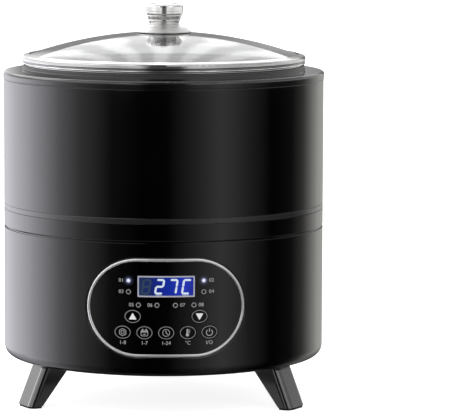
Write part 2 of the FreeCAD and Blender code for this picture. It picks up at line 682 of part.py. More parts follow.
def base_plate():
    """Bottom plate with vents, posts for the power board and screw holes."""
    plate = post(PLATE_R, BASE_BOTTOM, PLATE_TOP)
    posts = [post(POWER_POST_R, PLATE_TOP - OVERCUT, POWER_BOARD_Z, x, y) for x, y in POWER_POSTS]
    plate = plate.fuse(posts)
    under, over = BASE_BOTTOM - OVERCUT, PLATE_TOP + OVERCUT
    vent = plan_slot(VENT_WIDE, VENT_LONG, under, over - under, -VENT_R)
    steps = 360 // VENT_STEP
    cuts = around(vent, [VENT_STEP * step for step in range(steps) if step % 6])
    pilot_low = POWER_BOARD_Z - POWER_SCREW_LONG - OVERCUT
    cuts += [post(SMALL_HOLE_R, pilot_low, POWER_BOARD_Z + OVERCUT, x, y) for x, y in POWER_POSTS]
    cuts += around(post(M4_HOLE_R, under, over, 0, -PLATE_SCREW_R), PLATE_SCREW_AZIMUTHS)
    cuts += around(post(M5_HOLE_R, under, over, 0, -LEG_BOLT_R), LEG_AZIMUTHS.values())
    return plate.cut(cuts).removeSplitter()


def leg_section(z, inset=0.0):
    """Outline of a leg at one height, made at the front, with well rounded outer corners."""
    share = (BASE_BOTTOM - z) / (BASE_BOTTOM - PAD_TOP)
    half = LEG_WIDE / 2 - inset
    out = LEG_TOP_OUT + (LEG_FOOT_OUT - LEG_TOP_OUT) * share - inset
    inner = out - LEG_TOP_DEEP - (LEG_FOOT_DEEP - LEG_TOP_DEEP) * share + 2 * inset
    corners = [
        (-half, -out, LEG_EDGE),
        (half, -out, LEG_EDGE),
        (half, -inner, LEG_BACK_EDGE),
        (-half, -inner, LEG_BACK_EDGE),
    ]
    return outline(corners, lambda u, v: V(u, v, z))


def leg(azimuth):
    """Splayed leg that narrows towards its foot."""
    body = Part.makeLoft([leg_section(BASE_BOTTOM), leg_section(PAD_TOP)], True, True)
    body = body.cut(post(M5_HOLE_R, LEG_BOLT_TIP - OVERCUT, BASE_BOTTOM + OVERCUT, 0, -LEG_BOLT_R))
    return around(body, [azimuth])[0]


def foot_pad(azimuth):
    """Rubber pad under a leg."""
    section = leg_section(PAD_TOP, PAD_INSET)
    pad = Part.Face(section).extrude(V(0, 0, -PAD_TOP))
    return around(pad, [azimuth])[0]


def leg_bolts():
    """Bolts through the base plate into the legs."""
    top = PLATE_TOP + LEG_BOLT_HEAD_TALL
    across, head_tall = LEG_BOLT_ACROSS, LEG_BOLT_HEAD_TALL
    bolt = hex_bolt(-LEG_BOLT_R, PLATE_TOP, across, head_tall, M5_SHANK_R, LEG_BOLT_TIP, top)
    return Part.makeCompound(around(bolt, LEG_AZIMUTHS.values()))


def base_screws():
    """Screws that hold the base plate to the housing's bosses."""
    low = BASE_BOTTOM - PLATE_SCREW_HEAD_TALL
    y = -PLATE_SCREW_R
    screw = round_screw(0, y, low, BASE_BOTTOM, PLATE_SCREW_HEAD_R, M4_SHANK_R, low, PLATE_SCREW_TIP)
    return Part.makeCompound(around(screw, PLATE_SCREW_AZIMUTHS))


def panel_trim():
    """Bright rounded ring round the panel."""
    ring = stadium(TRIM_WIDE, TRIM_TALL).cut(stadium(TRIM_WIDE - 2 * TRIM_BAND, TRIM_TALL - 2 * TRIM_BAND))
    ring = curved_plate(ring, TRIM_BACK_R, TRIM_FRONT_R)
    return soften(ring, recess_edges(ring, TRIM_FRONT_R, TRIM_WIDE), TRIM_EDGE)


def fascia_plate():
    """Curved front of the panel with its step, key guides and board posts."""
    front_less = 2 * (TRIM_BAND + SLIP)
    front_prism = stadium(TRIM_WIDE - front_less, TRIM_TALL - front_less)
    front = curved_plate(front_prism, TRIM_BACK_R, FASCIA_FRONT_R)
    back_less = 2 * (TRIM_BAND + LEDGE + SLIP)
    back_prism = stadium(TRIM_WIDE - back_less, TRIM_TALL - back_less)
    adds = [curved_plate(back_prism, FASCIA_BACK_R, TRIM_BACK_R)]
    guide_more = 2 * (RUNNING + KEY_GUIDE_WALL)
    for x, z in KEYS.values():
        adds.append(oval(x, z, KEY_WIDE + guide_more, KEY_TALL + guide_more, OUTSIDE_Y, KEY_STOP_Y))
    for x, z in BOARD_POSTS:
        adds.append(rod_y(x, z, BOARD_POST_R, OUTSIDE_Y, BOARD_FRONT_Y))
    joined_r = TRIM_BACK_R + SMALL_EDGE
    return front.fuse([piece.common(drum(joined_r)) for piece in adds])


def panel_fascia():
    """Fascia with its windows for display, keys and lamps, and pilot holes in its posts."""
    wide, tall = DISPLAY_WIDE + 2 * SLIP, DISPLAY_TALL + 2 * SLIP
    cuts = [plate_front(wide, tall, 0, DISPLAY_Z, OUTSIDE_Y, LCD_BACK_Y, PLAIN_EDGE)]
    for x, z in KEYS.values():
        cuts.append(oval(x, z, KEY_WIDE + 2 * RUNNING, KEY_TALL + 2 * RUNNING, OUTSIDE_Y, BOARD_FRONT_Y))
    for x, z in INDICATORS:
        cuts.append(rod_y(x, z, INDICATOR_R + SLIP, OUTSIDE_Y, BOARD_FRONT_Y))
    for x, z in BOARD_POSTS:
        cuts.append(rod_y(x, z, SMALL_HOLE_R, BOARD_FRONT_Y - BOARD_SCREW_LONG - OVERCUT, INSIDE_Y))
    return fascia_plate().cut(cuts).removeSplitter()


def display_frame():
    """Pale frame round the display."""
    outer = plate_front(DISPLAY_WIDE, DISPLAY_TALL, 0, DISPLAY_Z, OUTSIDE_Y, LCD_BACK_Y, PLAIN_EDGE - SLIP)
    hole_wide = DISPLAY_WIDE - 2 * DISPLAY_BORDER
    hole_tall = DISPLAY_TALL - 2 * DISPLAY_BORDER
    hole = plate_front(hole_wide, hole_tall, 0, DISPLAY_Z, OUTSIDE_Y, LCD_BACK_Y, SMALL_EDGE)
    return curved_plate(outer.cut(hole), FASCIA_BACK_R, FASCIA_FRONT_R + DISPLAY_PROUD)


def display_window():
    """Clear pane inside the frame."""
    wide = DISPLAY_WIDE - 2 * (DISPLAY_BORDER + SLIP)
    tall = DISPLAY_TALL - 2 * (DISPLAY_BORDER + SLIP)
    pane = plate_front(wide, tall, 0, DISPLAY_Z, OUTSIDE_Y, LCD_BACK_Y, FINE_EDGE)
    return curved_plate(pane, FASCIA_BACK_R + WINDOW_BACK, FASCIA_FRONT_R - WINDOW_SUNK)


def indicator_lenses():
    """Light pipes of the eight lamps."""
    back_y = BOARD_FRONT_Y - LENS_BACK_GAP
    front = drum(FASCIA_FRONT_R + LENS_PROUD)
    pipes = [rod_y(x, z, INDICATOR_R, OUTSIDE_Y, back_y).common(front) for x, z in INDICATORS]
    return Part.makeCompound(pipes)


def key(x, z):
    """Oval key with a retaining lip and a stem that meets its switch."""
    cap = oval(x, z, KEY_WIDE, KEY_TALL, OUTSIDE_Y, KEY_STOP_Y).common(drum(KEY_FRONT_R))
    lip_back = KEY_STOP_Y + KEY_LIP_THICK
    wider = 2 * (RUNNING + KEY_LIP)
    lip = oval(x, z, KEY_WIDE + wider, KEY_TALL + wider, KEY_STOP_Y, lip_back)
    tip = rod_y(x, z, KEY_TIP_R, KEY_STOP_Y, SWITCH_TOP_Y - KEY_TRAVEL - KEY_TIP_GAP)
    front = [edge for edge in cap.Edges if all(p.y < KEY_STOP_Y - OVERCUT for p in edge.discretize(5))]
    return soften(cap, front, KEY_EDGE).fuse([lip, tip]).removeSplitter()


def control_board():
    """Board behind the panel."""
    board = plate_front(BOARD_WIDE, BOARD_TALL, 0, BOARD_Z, BOARD_FRONT_Y, BOARD_BACK_Y, BOARD_CORNER)
    holes = [rod_y(x, z, SMALL_HOLE_R, BOARD_FRONT_Y - OVERCUT, INSIDE_Y) for x, z in BOARD_POSTS]
    return board.cut(holes)


def control_board_screws():
    """Screws into the fascia's posts."""
    tip_y = BOARD_FRONT_Y - BOARD_SCREW_LONG
    screws = []
    for x, z in BOARD_POSTS:
        head = rod_y(x, z, BOARD_SCREW_HEAD_R, BOARD_BACK_Y, BOARD_BACK_Y + BOARD_SCREW_HEAD_TALL)
        screws.append(head.fuse(rod_y(x, z, SMALL_SHANK_R, tip_y, BOARD_BACK_Y + BOARD_SCREW_HEAD_TALL)))
    return Part.makeCompound(screws)


def lcd_module():
    """Display block with its two rows of contacts."""
    module = plate_front(LCD_WIDE, LCD_TALL, 0, DISPLAY_Z, LCD_FRONT_Y, LCD_BACK_Y, PLAIN_EDGE)
    for side in (-1, 1):
        row_z = DISPLAY_Z + side * LCD_ROW_OFFSET
        module = module.fuse(plate_front(LCD_ROW_WIDE, LCD_ROW_TALL, 0, row_z, LCD_BACK_Y, BOARD_FRONT_Y))
    return module


def tact_switches():
    """One small switch behind each key."""
    case_y = BOARD_FRONT_Y - SWITCH_DEEP
    switches = []
    for x, z in KEYS.values():
        case = plate_front(SWITCH_SIDE, SWITCH_SIDE, x, z, case_y, BOARD_FRONT_Y, SMALL_EDGE)
        switches.append(case.fuse(rod_y(x, z, SWITCH_STEM_R, SWITCH_TOP_Y, BOARD_FRONT_Y - OVERCUT)))
    return Part.makeCompound(switches)


def indicator_leds():
    """One light source behind each lens."""
    front_y = BOARD_FRONT_Y - LED_DEEP
    return Part.makeCompound([
        plate_front(LED_WIDE, LED_TALL, x, z, front_y, BOARD_FRONT_Y) for x, z in INDICATORS
    ])


def heater_plate():
    """Round plate against the liner, grooved for the element."""
    under, over = HEATER_BOTTOM - OVERCUT, LINER_BOTTOM + OVERCUT
    plate = post(HEATER_R, HEATER_BOTTOM, LINER_BOTTOM).cut(post(HEATER_BORE_R, under, over))
    groove = Part.makeTorus(ELEMENT_R, ELEMENT_TUBE_R + FINE_EDGE, V(0, 0, ELEMENT_LEVEL), UP)
    holes = around(post(M4_HOLE_R, under, over, 0, -HEATER_SCREW_R), HEATER_SCREW_AZIMUTHS)
    return plate.cut([groove] + holes)


def element_ends():
    """Where the two ends of the element stand."""
    angle = math.radians(ELEMENT_GAP)
    return [(ELEMENT_R * math.cos(angle), side * ELEMENT_R * math.sin(angle)) for side in (-1, 1)]


def heater_element():
    """Open ring of heating tube with two pins."""
    ring = Part.makeCircle(ELEMENT_TUBE_R, V(ELEMENT_R, 0, ELEMENT_LEVEL), INWARD)
    tube = Part.Face(Part.Wire(ring)).revolve(ORIGIN, UP, 360 - 2 * ELEMENT_GAP)
    tube.rotate(ORIGIN, UP, ELEMENT_GAP)
    low = ELEMENT_LEVEL - ELEMENT_PIN_LONG
    return tube.fuse([post(ELEMENT_PIN_R, low, ELEMENT_LEVEL, x, y) for x, y in element_ends()])


def heater_screws():
    """Screws that hold the heater to the liner."""
    low = HEATER_BOTTOM - HEATER_SCREW_HEAD_TALL
    y = -HEATER_SCREW_R
    screw = round_screw(0, y, low, HEATER_BOTTOM, HEATER_SCREW_HEAD_R, M4_SHANK_R, low, HEATER_SCREW_TIP)
    return Part.makeCompound(around(screw, HEATER_SCREW_AZIMUTHS))


def temperature_sensor():
    """Sensor that stands on its bracket and meets the liner."""
    low = BRACKET_LOW + BRACKET_SHEET
    flange = post(SENSOR_FLANGE_R, low, low + SENSOR_FLANGE_TALL)
    return post(SENSOR_R, low, LINER_BOTTOM - SENSOR_GAP).fuse(flange)


def sensor_bracket():
    """Bent strip across the heater that carries the sensor."""
    strip = block(BRACKET_WIDE, BRACKET_DEEP, BRACKET_SHEET, 0, 0, BRACKET_LOW)
    arm_x = (BRACKET_WIDE - BRACKET_SHEET) / 2
    for side in (-1, 1):
        arm = block(BRACKET_SHEET, BRACKET_DEEP, HEATER_BOTTOM - BRACKET_LOW, side * arm_x, 0, BRACKET_LOW)
        strip = strip.fuse(arm)
    hole = post(SENSOR_HOLE_R, BRACKET_LOW - OVERCUT, BRACKET_LOW + BRACKET_SHEET + OVERCUT)
    return strip.cut(hole).removeSplitter()


def thermal_fuse():
    """Round fuse under the heater."""
    return Part.makeCylinder(FUSE_R, FUSE_LONG, V(-FUSE_LONG / 2, FUSE_Y, FUSE_Z), SIDEWAYS)


def fuse_clip():
    """Clip that holds the fuse against the heater."""
    strap = block(CLIP_WIDE, CLIP_DEEP, HEATER_BOTTOM - CLIP_LOW, 0, FUSE_Y, CLIP_LOW)
    bore = Part.makeCylinder(FUSE_R + CLIP_GAP, FUSE_LONG, V(-FUSE_LONG / 2, FUSE_Y, FUSE_Z), SIDEWAYS)
    return strap.cut(bore)


def power_board():
    """Power supply's board."""
    board = block(POWER_BOARD_WIDE, POWER_BOARD_DEEP, BOARD_THICK, 0, POWER_BOARD_Y, POWER_BOARD_Z)
    under, over = POWER_BOARD_Z - OVERCUT, POWER_TOP + OVERCUT
    return board.cut([post(SMALL_HOLE_R, under, over, x, y) for x, y in POWER_POSTS])


def power_board_screws():
    """Screws into the base plate's posts."""
    head_top = POWER_TOP + POWER_SCREW_HEAD_TALL
    tip = POWER_BOARD_Z - POWER_SCREW_LONG
    return Part.makeCompound([
        round_screw(x, y, POWER_TOP, head_top, POWER_SCREW_HEAD_R, SMALL_SHANK_R, tip, head_top)
        for x, y in POWER_POSTS
    ])


def power_transformer():
    """Laminated core with its winding."""
    x, y = TRANSFORMER_X, TRANSFORMER_Y
    core = block(CORE_WIDE, CORE_DEEP, CORE_TALL, x, y, POWER_TOP)
    window_tall = CORE_TALL - 2 * CORE_LEG
    window = block(CORE_WIDE - 2 * CORE_LEG, CORE_DEEP + OVERCUT, window_tall, x, y, POWER_TOP + CORE_LEG)
    winding_tall = window_tall - 2 * WINDING_GAP
    winding = block(WINDING_WIDE, WINDING_DEEP, winding_tall, x, y, POWER_TOP + CORE_LEG + WINDING_GAP)
    middle_leg = block(2 * CORE_LEG, CORE_DEEP, CORE_TALL, x, y, POWER_TOP)
    return core.cut(window).fuse([winding, middle_leg]).removeSplitter()


def power_relay():
    """Relay that switches the heater."""
    return block(*RELAY_SIZE, RELAY_X, RELAY_Y, POWER_TOP)


def power_capacitors():
    """Two round capacitors."""
    top = POWER_TOP + CAPACITOR_TALL
    return Part.makeCompound([post(CAPACITOR_R, POWER_TOP, top, x, CAPACITOR_Y) for x in CAPACITOR_XS])


def terminal_block():
    """Terminal block for the heater's leads."""
    x = element_ends()[0][0] - TERMINAL_IN
    body = block(*TERMINAL_SIZE, x, 0, POWER_TOP)
    port_top = POWER_TOP + TERMINAL_SIZE[2] + OVERCUT
    return body.cut([post(TERMINAL_PORT_R, PORT_FLOOR, port_top, x, y) for _, y in element_ends()])


def heater_leads():
    """Leads from the terminal block to the element's pins."""
    leads = []
    for x, y in element_ends():
        high_z = POWER_TOP + HEATER_LEAD_RISE
        low = V(x - TERMINAL_IN, y, PORT_FLOOR)
        high = V(x - TERMINAL_IN, y, high_z)
        end = V(x - ELEMENT_PIN_R, y, high_z)
        leads.append(lead([low, high, end], HEATER_LEAD_R, HEATER_LEAD_BEND))
    return Part.makeCompound(leads)


def sensor_lead():
    """Lead from the power board to the sensor."""
    points = [
        V(0, SENSOR_LEAD_Y, POWER_TOP),
        V(0, SENSOR_LEAD_Y, SENSOR_LEAD_Z),
        V(0, 0, SENSOR_LEAD_Z),
        V(0, 0, BRACKET_LOW + BRACKET_SHEET),
    ]
    return lead(points, SENSOR_LEAD_R, SENSOR_LEAD_BEND)


def inlet_leads():
    """Leads from the inlet's two mains pins to the power board."""
    leads = []
    for x, z in INLET_PINS[:2]:
        level = INLET_Z + z
        points = [V(x, PIN_TAIL_Y, level), V(x, INLET_LEAD_Y, level), V(x, INLET_LEAD_Y, POWER_TOP)]
        leads.append(lead(points, INLET_LEAD_R, INLET_LEAD_BEND))
    return Part.makeCompound(leads)


def ribbon_cable():
    """Flat cable from the power board to the control board."""
    low, thick = RIBBON_LOW, RIBBON_THICK
    near, far = RIBBON_NEAR, RIBBON_FAR
    plug_low = RIBBON_PLUG_Z - thick
    corners = [
        (near, POWER_TOP),
        (near, low, RIBBON_BEND),
        (far, low, RIBBON_BEND),
        (far, RIBBON_PLUG_Z),
        (BOARD_BACK_Y, RIBBON_PLUG_Z),
        (BOARD_BACK_Y, plug_low),
        (far - thick, plug_low),
        (far - thick, low - thick, RIBBON_BEND + thick),
        (near - thick, low - thick, RIBBON_BEND - thick),
        (near - thick, POWER_TOP),
    ]
    wire = outline(corners, lambda y, z: V(-RIBBON_WIDE / 2, y, z))
    return Part.Face(wire).extrude(V(RIBBON_WIDE, 0, 0))


def inlet_body():
    """Appliance inlet: flange, body and a mouth with two sloped corners."""
    front = INLET_SEAT_Y + INLET_FLANGE_THICK
    flange = plate_front(INLET_FLANGE_WIDE, INLET_FLANGE_TALL, 0, INLET_Z, INLET_SEAT_Y, front, INLET_CORNER)
    body = plate_front(INLET_WIDE, INLET_TALL, 0, INLET_Z, front - INLET_LONG, INLET_SEAT_Y)
    half_w, slope, round_r = INLET_MOUTH_WIDE / 2, INLET_MOUTH_SLOPE, INLET_MOUTH_CORNER
    low, high = INLET_Z - INLET_MOUTH_TALL / 2, INLET_Z + INLET_MOUTH_TALL / 2
    mouth = pulled_front([
        (-half_w, low, round_r),
        (half_w, low, round_r),
        (half_w, high - slope, round_r),
        (half_w - slope, high, round_r),
        (-half_w + slope, high, round_r),
        (-half_w, high - slope, round_r),
    ], front - INLET_MOUTH_DEEP, front + OVERCUT)
    return flange.fuse(body).cut([mouth, inlet_pins()]).removeSplitter()


def inlet_pins():
    """Three flat pins through the inlet's floor."""
    pins = [plate_front(PIN_WIDE, PIN_TALL, x, INLET_Z + z, PIN_TAIL_Y, PIN_TIP_Y) for x, z in INLET_PINS]
    return Part.makeCompound(pins)


def all_parts():
    """Every node's name with its shape."""
    simple = [
        lid_glass, lid_rim, knob_grip, knob_skirt, knob_screw, knob_washer, inner_pot,
        top_ring, upper_shell, trim_band, base_housing, well_liner, base_plate,
        tie_rods, liner_screws, base_screws, leg_bolts,
        heater_plate, heater_element, heater_screws, temperature_sensor, sensor_bracket,
        thermal_fuse, fuse_clip,
        power_board, power_board_screws, power_transformer, power_relay, power_capacitors, terminal_block,
        inlet_body, inlet_pins, heater_leads, inlet_leads, sensor_lead, ribbon_cable,
        control_board, control_board_screws, lcd_module, tact_switches, indicator_leds,
        panel_trim, panel_fascia, display_frame, display_window, indicator_lenses,
    ]
    parts = {make.__name__: make() for make in simple}
    for side, azimuth in LEG_AZIMUTHS.items():
        parts["leg_" + side] = leg(azimuth)
        parts["foot_pad_" + side] = foot_pad(azimuth)
    for name, (x, z) in KEYS.items():
        parts[name] = key(x, z)
    return parts


os.makedirs("parts", exist_ok=True)
for name, shape in all_parts().items():
    shape.exportStep("parts/" + name + ".step")
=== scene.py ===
"""Looks of a counter-top yogurt maker: finishes, panel prints, display, light and camera."""
import logging
import math
from collections.abc import Callable, Iterator, Sequence
from contextlib import contextmanager
from dataclasses import dataclass, field
from enum import Enum
from typing import ClassVar

import bpy
from mathutils import Matrix, Vector


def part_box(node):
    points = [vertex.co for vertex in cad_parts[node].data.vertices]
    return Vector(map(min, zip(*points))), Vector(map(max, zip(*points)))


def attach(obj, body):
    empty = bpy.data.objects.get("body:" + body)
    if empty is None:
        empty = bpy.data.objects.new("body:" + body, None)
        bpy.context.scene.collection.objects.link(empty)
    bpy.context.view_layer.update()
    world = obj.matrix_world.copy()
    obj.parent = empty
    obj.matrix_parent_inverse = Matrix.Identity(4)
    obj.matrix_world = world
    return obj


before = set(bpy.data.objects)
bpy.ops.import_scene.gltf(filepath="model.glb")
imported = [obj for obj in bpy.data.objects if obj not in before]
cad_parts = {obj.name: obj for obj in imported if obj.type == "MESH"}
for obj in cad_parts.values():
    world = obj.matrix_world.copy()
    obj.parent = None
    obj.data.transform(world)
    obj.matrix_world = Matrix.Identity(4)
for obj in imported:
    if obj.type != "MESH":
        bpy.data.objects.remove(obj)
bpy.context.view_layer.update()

MM = 0.001
log = logging.getLogger("yogurt_maker")

Piece = bpy.types.Object
Socket = bpy.types.NodeSocket
Colour = tuple[float, float, float]
Span = tuple[float, float]
Place = tuple[float, float]
Stops = Sequence[tuple[float, Sequence[float]]]
Levels = tuple[tuple[float, float], ...]

# Where most, and nearly all, of a cloudy pattern's values lie
MOST: Span = (0.3, 0.7)
NEARLY_ALL: Span = (0.2, 0.8)
BLACK: Colour = (0.0, 0.0, 0.0)
WHITE: Colour = (1.0, 1.0, 1.0)


def shade(colour: Colour, factor: float = 1.0) -> tuple[float, float, float, float]:
    """A colour made darker or lighter by a factor, as a socket value with an alpha of one."""
    red, green, blue = (channel * factor for channel in colour)
    return red, green, blue, 1.0


def grey(level: float, blue: float | None = None) -> Colour:
    """A grey, which may have a blue of its own."""
    return level, level, level if blue is None else blue


class Grain(Enum):
    """Which way the marks of a metal's last working run."""

    TURNED = "round the upright axis"
    DRAWN = "straight up"
    POLISHED = "no direction"


class NodeSheet:
    """A node tree, with short ways to add nodes and join them."""

    def __init__(self, tree: bpy.types.NodeTree) -> None:
        """Keeps the tree that is worked on."""
        self.tree = tree

    @property
    def shader(self) -> bpy.types.Node:
        """The material's main shader node."""
        return self.tree.nodes["Principled BSDF"]

    def feed(self, socket: Socket, value: object) -> None:
        """Joins a socket to another node's output, or sets its constant.

        Args:
            socket: The input to fill.
            value: An output socket, a number, a vector or a colour.
        """
        if isinstance(value, Socket):
            self.tree.links.new(value, socket)
        else:
            socket.default_value = value

    def node(self, kind: str, inputs: dict | None = None, **settings: object) -> bpy.types.Node:
        """Adds one node.

        Args:
            kind: Blender's type name of the node, without its first two words.
            inputs: Values or outputs by input name or number.
            **settings: Properties of the node itself.

        Returns:
            The new node.
        """
        made = self.tree.nodes.new(f"ShaderNode{kind}")
        for name, value in settings.items():
            setattr(made, name, value)
        for key, value in (inputs or {}).items():
            self.feed(made.inputs[key], value)
        return made

    def shader_values(self, **values: object) -> None:
        """Fills the main shader's inputs, named with underscores for spaces."""
        for name, value in values.items():
            self.feed(self.shader.inputs[name.replace("_", " ")], value)

    def source(self, name: str) -> Socket:
        """The output that feeds one of the main shader's inputs."""
        return self.shader.inputs[name].links[0].from_socket

    def place(self) -> Socket:
        """The point's place in the object's own frame, in metres."""
        return self.node("TexCoord").outputs["Object"]

    def split(self, vector: Socket) -> Sequence[Socket]:
        """The three parts of a vector."""
        return self.node("SeparateXYZ", {0: vector}).outputs

    def sum(self, operation: str, first: object, second: object = 0.0) -> Socket:
        """The result of one arithmetic step, such as ADD or MULTIPLY, on numbers or outputs."""
        return self.node("Math", {0: first, 1: second}, operation=operation).outputs[0]

    def spread(self, value: Socket, old: Span, new: Span = (0.0, 1.0)) -> Socket:
        """A value moved from one span to another and kept inside it."""
        ends = {"Value": value, "From Min": old[0], "From Max": old[1], "To Min": new[0], "To Max": new[1]}
        return self.node("MapRange", ends).outputs[0]

    def noise(self, size: float, detail: float = 2.0, place: object = None) -> Socket:
        """A cloudy pattern from 0 to 1, with clouds of a size in metres, in the object's own or another frame."""
        vector = self.place() if place is None else place
        return self.node("TexNoise", {"Vector": vector, "Scale": 1 / size, "Detail": detail}).outputs[0]

    def ramp(self, value: Socket, stops: Stops) -> Socket:
        """Colours along a value.

        Args:
            value: Output from 0 to 1.
            stops: Places from 0 to 1 with their colours.

        Returns:
            The colour's output.
        """
        made = self.node("ValToRGB", {0: value})
        elements = made.color_ramp.elements
        for number, (at, colour) in enumerate(stops):
            stop = elements[number] if number < 2 else elements.new(at)
            stop.position = at
            stop.color = (*colour[:3], 1.0)
        return made.outputs[0]

    def tones(self, value: Socket, colour: Colour, factors: Span, span: Span = MOST) -> Socket:
        """A colour from its first to its second factor along a span of a value."""
        return self.ramp(value, [(at, shade(colour, factor)) for at, factor in zip(span, factors)])

    def mix(self, share: Socket, first: object, second: object) -> Socket:
        """Two colours mixed by the share of the second."""
        return self.node("Mix", {0: share, 6: first, 7: second}, data_type="RGBA").outputs[2]

    def scaled(self, colour: Socket, factor: Socket) -> Socket:
        """A colour multiplied by a factor."""
        return self.node("VectorMath", {0: colour, "Scale": factor}, operation="SCALE").outputs[0]

    def relief(self, height: Socket, rise: float, strength: float = 1.0) -> None:
        """Raises the shader's surface by a pattern whose tops are as high as the rise, in metres."""
        bump = self.node("Bump", {"Height": height, "Distance": rise, "Strength": strength})
        self.shader_values(Normal=bump.outputs[0])

    def turned_place(self) -> Socket:
        """Distance from the upright axis, and height, as a vector."""
        place = self.place()
        flat = self.node("VectorMath", {0: place, 1: (1.0, 1.0, 0.0)}, operation="MULTIPLY").outputs[0]
        radius = self.node("VectorMath", {0: flat}, operation="LENGTH").outputs["Value"]
        return self.node("CombineXYZ", {0: radius, 2: self.split(place)[2]}).outputs[0]


def new_material(name: str) -> tuple[bpy.types.Material, NodeSheet]:
    """A new material with its node sheet.

    Args:
        name: Name of the material.

    Returns:
        The material and its sheet.
    """
    made = bpy.data.materials.new(name)
    made.use_nodes = True
    return made, NodeSheet(made.node_tree)


@dataclass(frozen=True)
class Finish:
    """A named surface that makes its material once."""

    name: str
    made: ClassVar[dict[str, bpy.types.Material]] = {}

    def material(self) -> bpy.types.Material:
        """The finish's material, made at the first call."""
        if self.name not in Finish.made:
            Finish.made[self.name], sheet = new_material(self.name)
            self.compose(sheet)
        return Finish.made[self.name]

    def compose(self, sheet: NodeSheet) -> None:
        """Fills the new material's nodes; each kind of finish has its own way."""
        raise NotImplementedError


@dataclass(frozen=True)
class Moulding(Finish):
    """Moulded or painted plastic: fine eroded grain, slow drift of tone, faint handling marks."""

    colour: Colour = grey(0.01)
    roughness: Span = (0.3, 0.4)
    grain: float = 0.5 * MM
    rise: float = 0.004 * MM
    drift: float = 0.25
    specular: float = 0.5
    coat: float = 0.0
    coat_roughness: float = 0.1
    cloud: float = 60 * MM
    cloud_share: float = 0.7

    def compose(self, sheet: NodeSheet) -> None:
        """Drift in the colour, grain in the relief, both in the gloss."""
        slow = sheet.noise(self.cloud, 4.0)
        fine = sheet.noise(self.grain)
        both = sheet.sum(
            "ADD", sheet.sum("MULTIPLY", slow, self.cloud_share), sheet.sum("MULTIPLY", fine, 1 - self.cloud_share))
        sheet.shader_values(
            Base_Color=sheet.tones(slow, self.colour, (1 - self.drift, 1 + self.drift)),
            Roughness=sheet.spread(both, MOST, self.roughness),
            Specular_IOR_Level=self.specular,
            Coat_Weight=self.coat,
            Coat_Roughness=self.coat_roughness,
        )
        sheet.relief(fine, self.rise)


@dataclass(frozen=True)
class SteppedMoulding(Moulding):
    """Moulding that is polished up to a level and left matt and paler above it."""

    matt_level: float = 256.8 * MM
    matt_colour: Colour = grey(0.0140, 0.0143)
    matt_roughness: float = 0.42
    uneven: float = 0.2 * MM
    blur: float = 0.4 * MM

    def compose(self, sheet: NodeSheet) -> None:
        """The plain moulding below, with the matt surface mixed in above the level."""
        super().compose(sheet)
        height = sheet.split(sheet.place())[2]
        height = sheet.sum("ADD", height, sheet.sum("MULTIPLY", sheet.noise(self.grain), self.uneven))
        matt = sheet.spread(height, (self.matt_level, self.matt_level + self.blur))
        for name, over in (("Base Color", self.matt_colour), ("Roughness", grey(self.matt_roughness))):
            sheet.feed(sheet.shader.inputs[name], sheet.mix(matt, sheet.source(name), shade(over)))


@dataclass(frozen=True)
class Metal(Finish):
    """Bare or plated metal with the marks of its last working."""

    colour: Colour = grey(0.7)
    roughness: Span = (0.1, 0.2)
    grain: Grain = Grain.POLISHED
    line: float = 0.3 * MM
    rise: float = 0.001 * MM
    drift: float = 0.06
    metallic: float = 1.0
    tarnish: float = 25 * MM
    swirl: float = 12 * MM
    stretch: Colour = (1.0, 1.0, 0.02)

    def marks(self, sheet: NodeSheet) -> Socket:
        """The working marks' pattern.

        Args:
            sheet: The material's node tree.

        Returns:
            The pattern's output.
        """
        if self.grain is Grain.TURNED:
            return sheet.noise(self.line, 3.0, sheet.turned_place())
        if self.grain is Grain.DRAWN:
            drawn = sheet.node("Mapping", {"Vector": sheet.place(), "Scale": self.stretch}).outputs[0]
            return sheet.noise(self.line, 3.0, drawn)
        return sheet.noise(self.swirl, 5.0)

    def compose(self, sheet: NodeSheet) -> None:
        """Marks in the gloss and relief, a slow tarnish in the colour."""
        marks = self.marks(sheet)
        slow = sheet.noise(self.tarnish, 3.0)
        sheet.shader_values(
            Base_Color=sheet.tones(slow, self.colour, (1 - self.drift, 1 + self.drift)),
            Metallic=self.metallic,
            Roughness=sheet.spread(marks, MOST, self.roughness),
        )
        sheet.relief(marks, self.rise)


@dataclass(frozen=True)
class RolledMetal(Metal):
    """Metal with a polished foot; above it painted shade darkens the colour of a band, and less that of the lip,
    standing in for their dark reflection.
    """

    band: Span = (262.9 * MM, 264.5 * MM)
    # Painted shade: shares of the colour kept in the band and in the lip, for the rim's dark reflection
    band_share: float = 0.28
    lip_share: float = 0.68
    blur: float = 0.25 * MM
    wave: float = 8 * MM

    def compose(self, sheet: NodeSheet) -> None:
        """The plain metal, with painted shade darkening its colour above its foot."""
        super().compose(sheet)
        sway = sheet.spread(sheet.noise(self.wave, 3.0), NEARLY_ALL, (-self.blur, self.blur))
        height = sheet.sum("ADD", sheet.split(sheet.place())[2], sway)
        low, high = self.band
        above = sheet.spread(height, (low - self.blur, low + self.blur))
        # Painted shade: the band keeps the first share of its colour and the lip the second, for the rim's dark
        # reflection
        painted_shade = sheet.spread(height, (high - self.blur, high + self.blur), (self.band_share, self.lip_share))
        left = sheet.sum("ADD", sheet.sum("MULTIPLY", above, sheet.sum("SUBTRACT", painted_shade, 1.0)), 1.0)
        sheet.shader_values(Base_Color=sheet.scaled(sheet.source("Base Color"), left))


@dataclass(frozen=True)
class Clear(Finish):
    """Clear glass or acrylic with faint wiping marks."""

    colour: Colour = (0.98, 0.99, 0.985)
    roughness: Span = (0.0, 0.02)
    ior: float = 1.5
    wipe: float = 18 * MM
    wiped: Span = (0.45, 0.8)

    def compose(self, sheet: NodeSheet) -> None:
        """Wiping marks in the gloss, the least drift in the tint."""
        wipes = sheet.noise(self.wipe, 4.0)
        sheet.shader_values(
            Base_Color=sheet.tones(wipes, self.colour, (0.985, 1.0), NEARLY_ALL),
            Roughness=sheet.spread(wipes, self.wiped, self.roughness),
            Transmission_Weight=1.0,
            IOR=self.ior,
        )


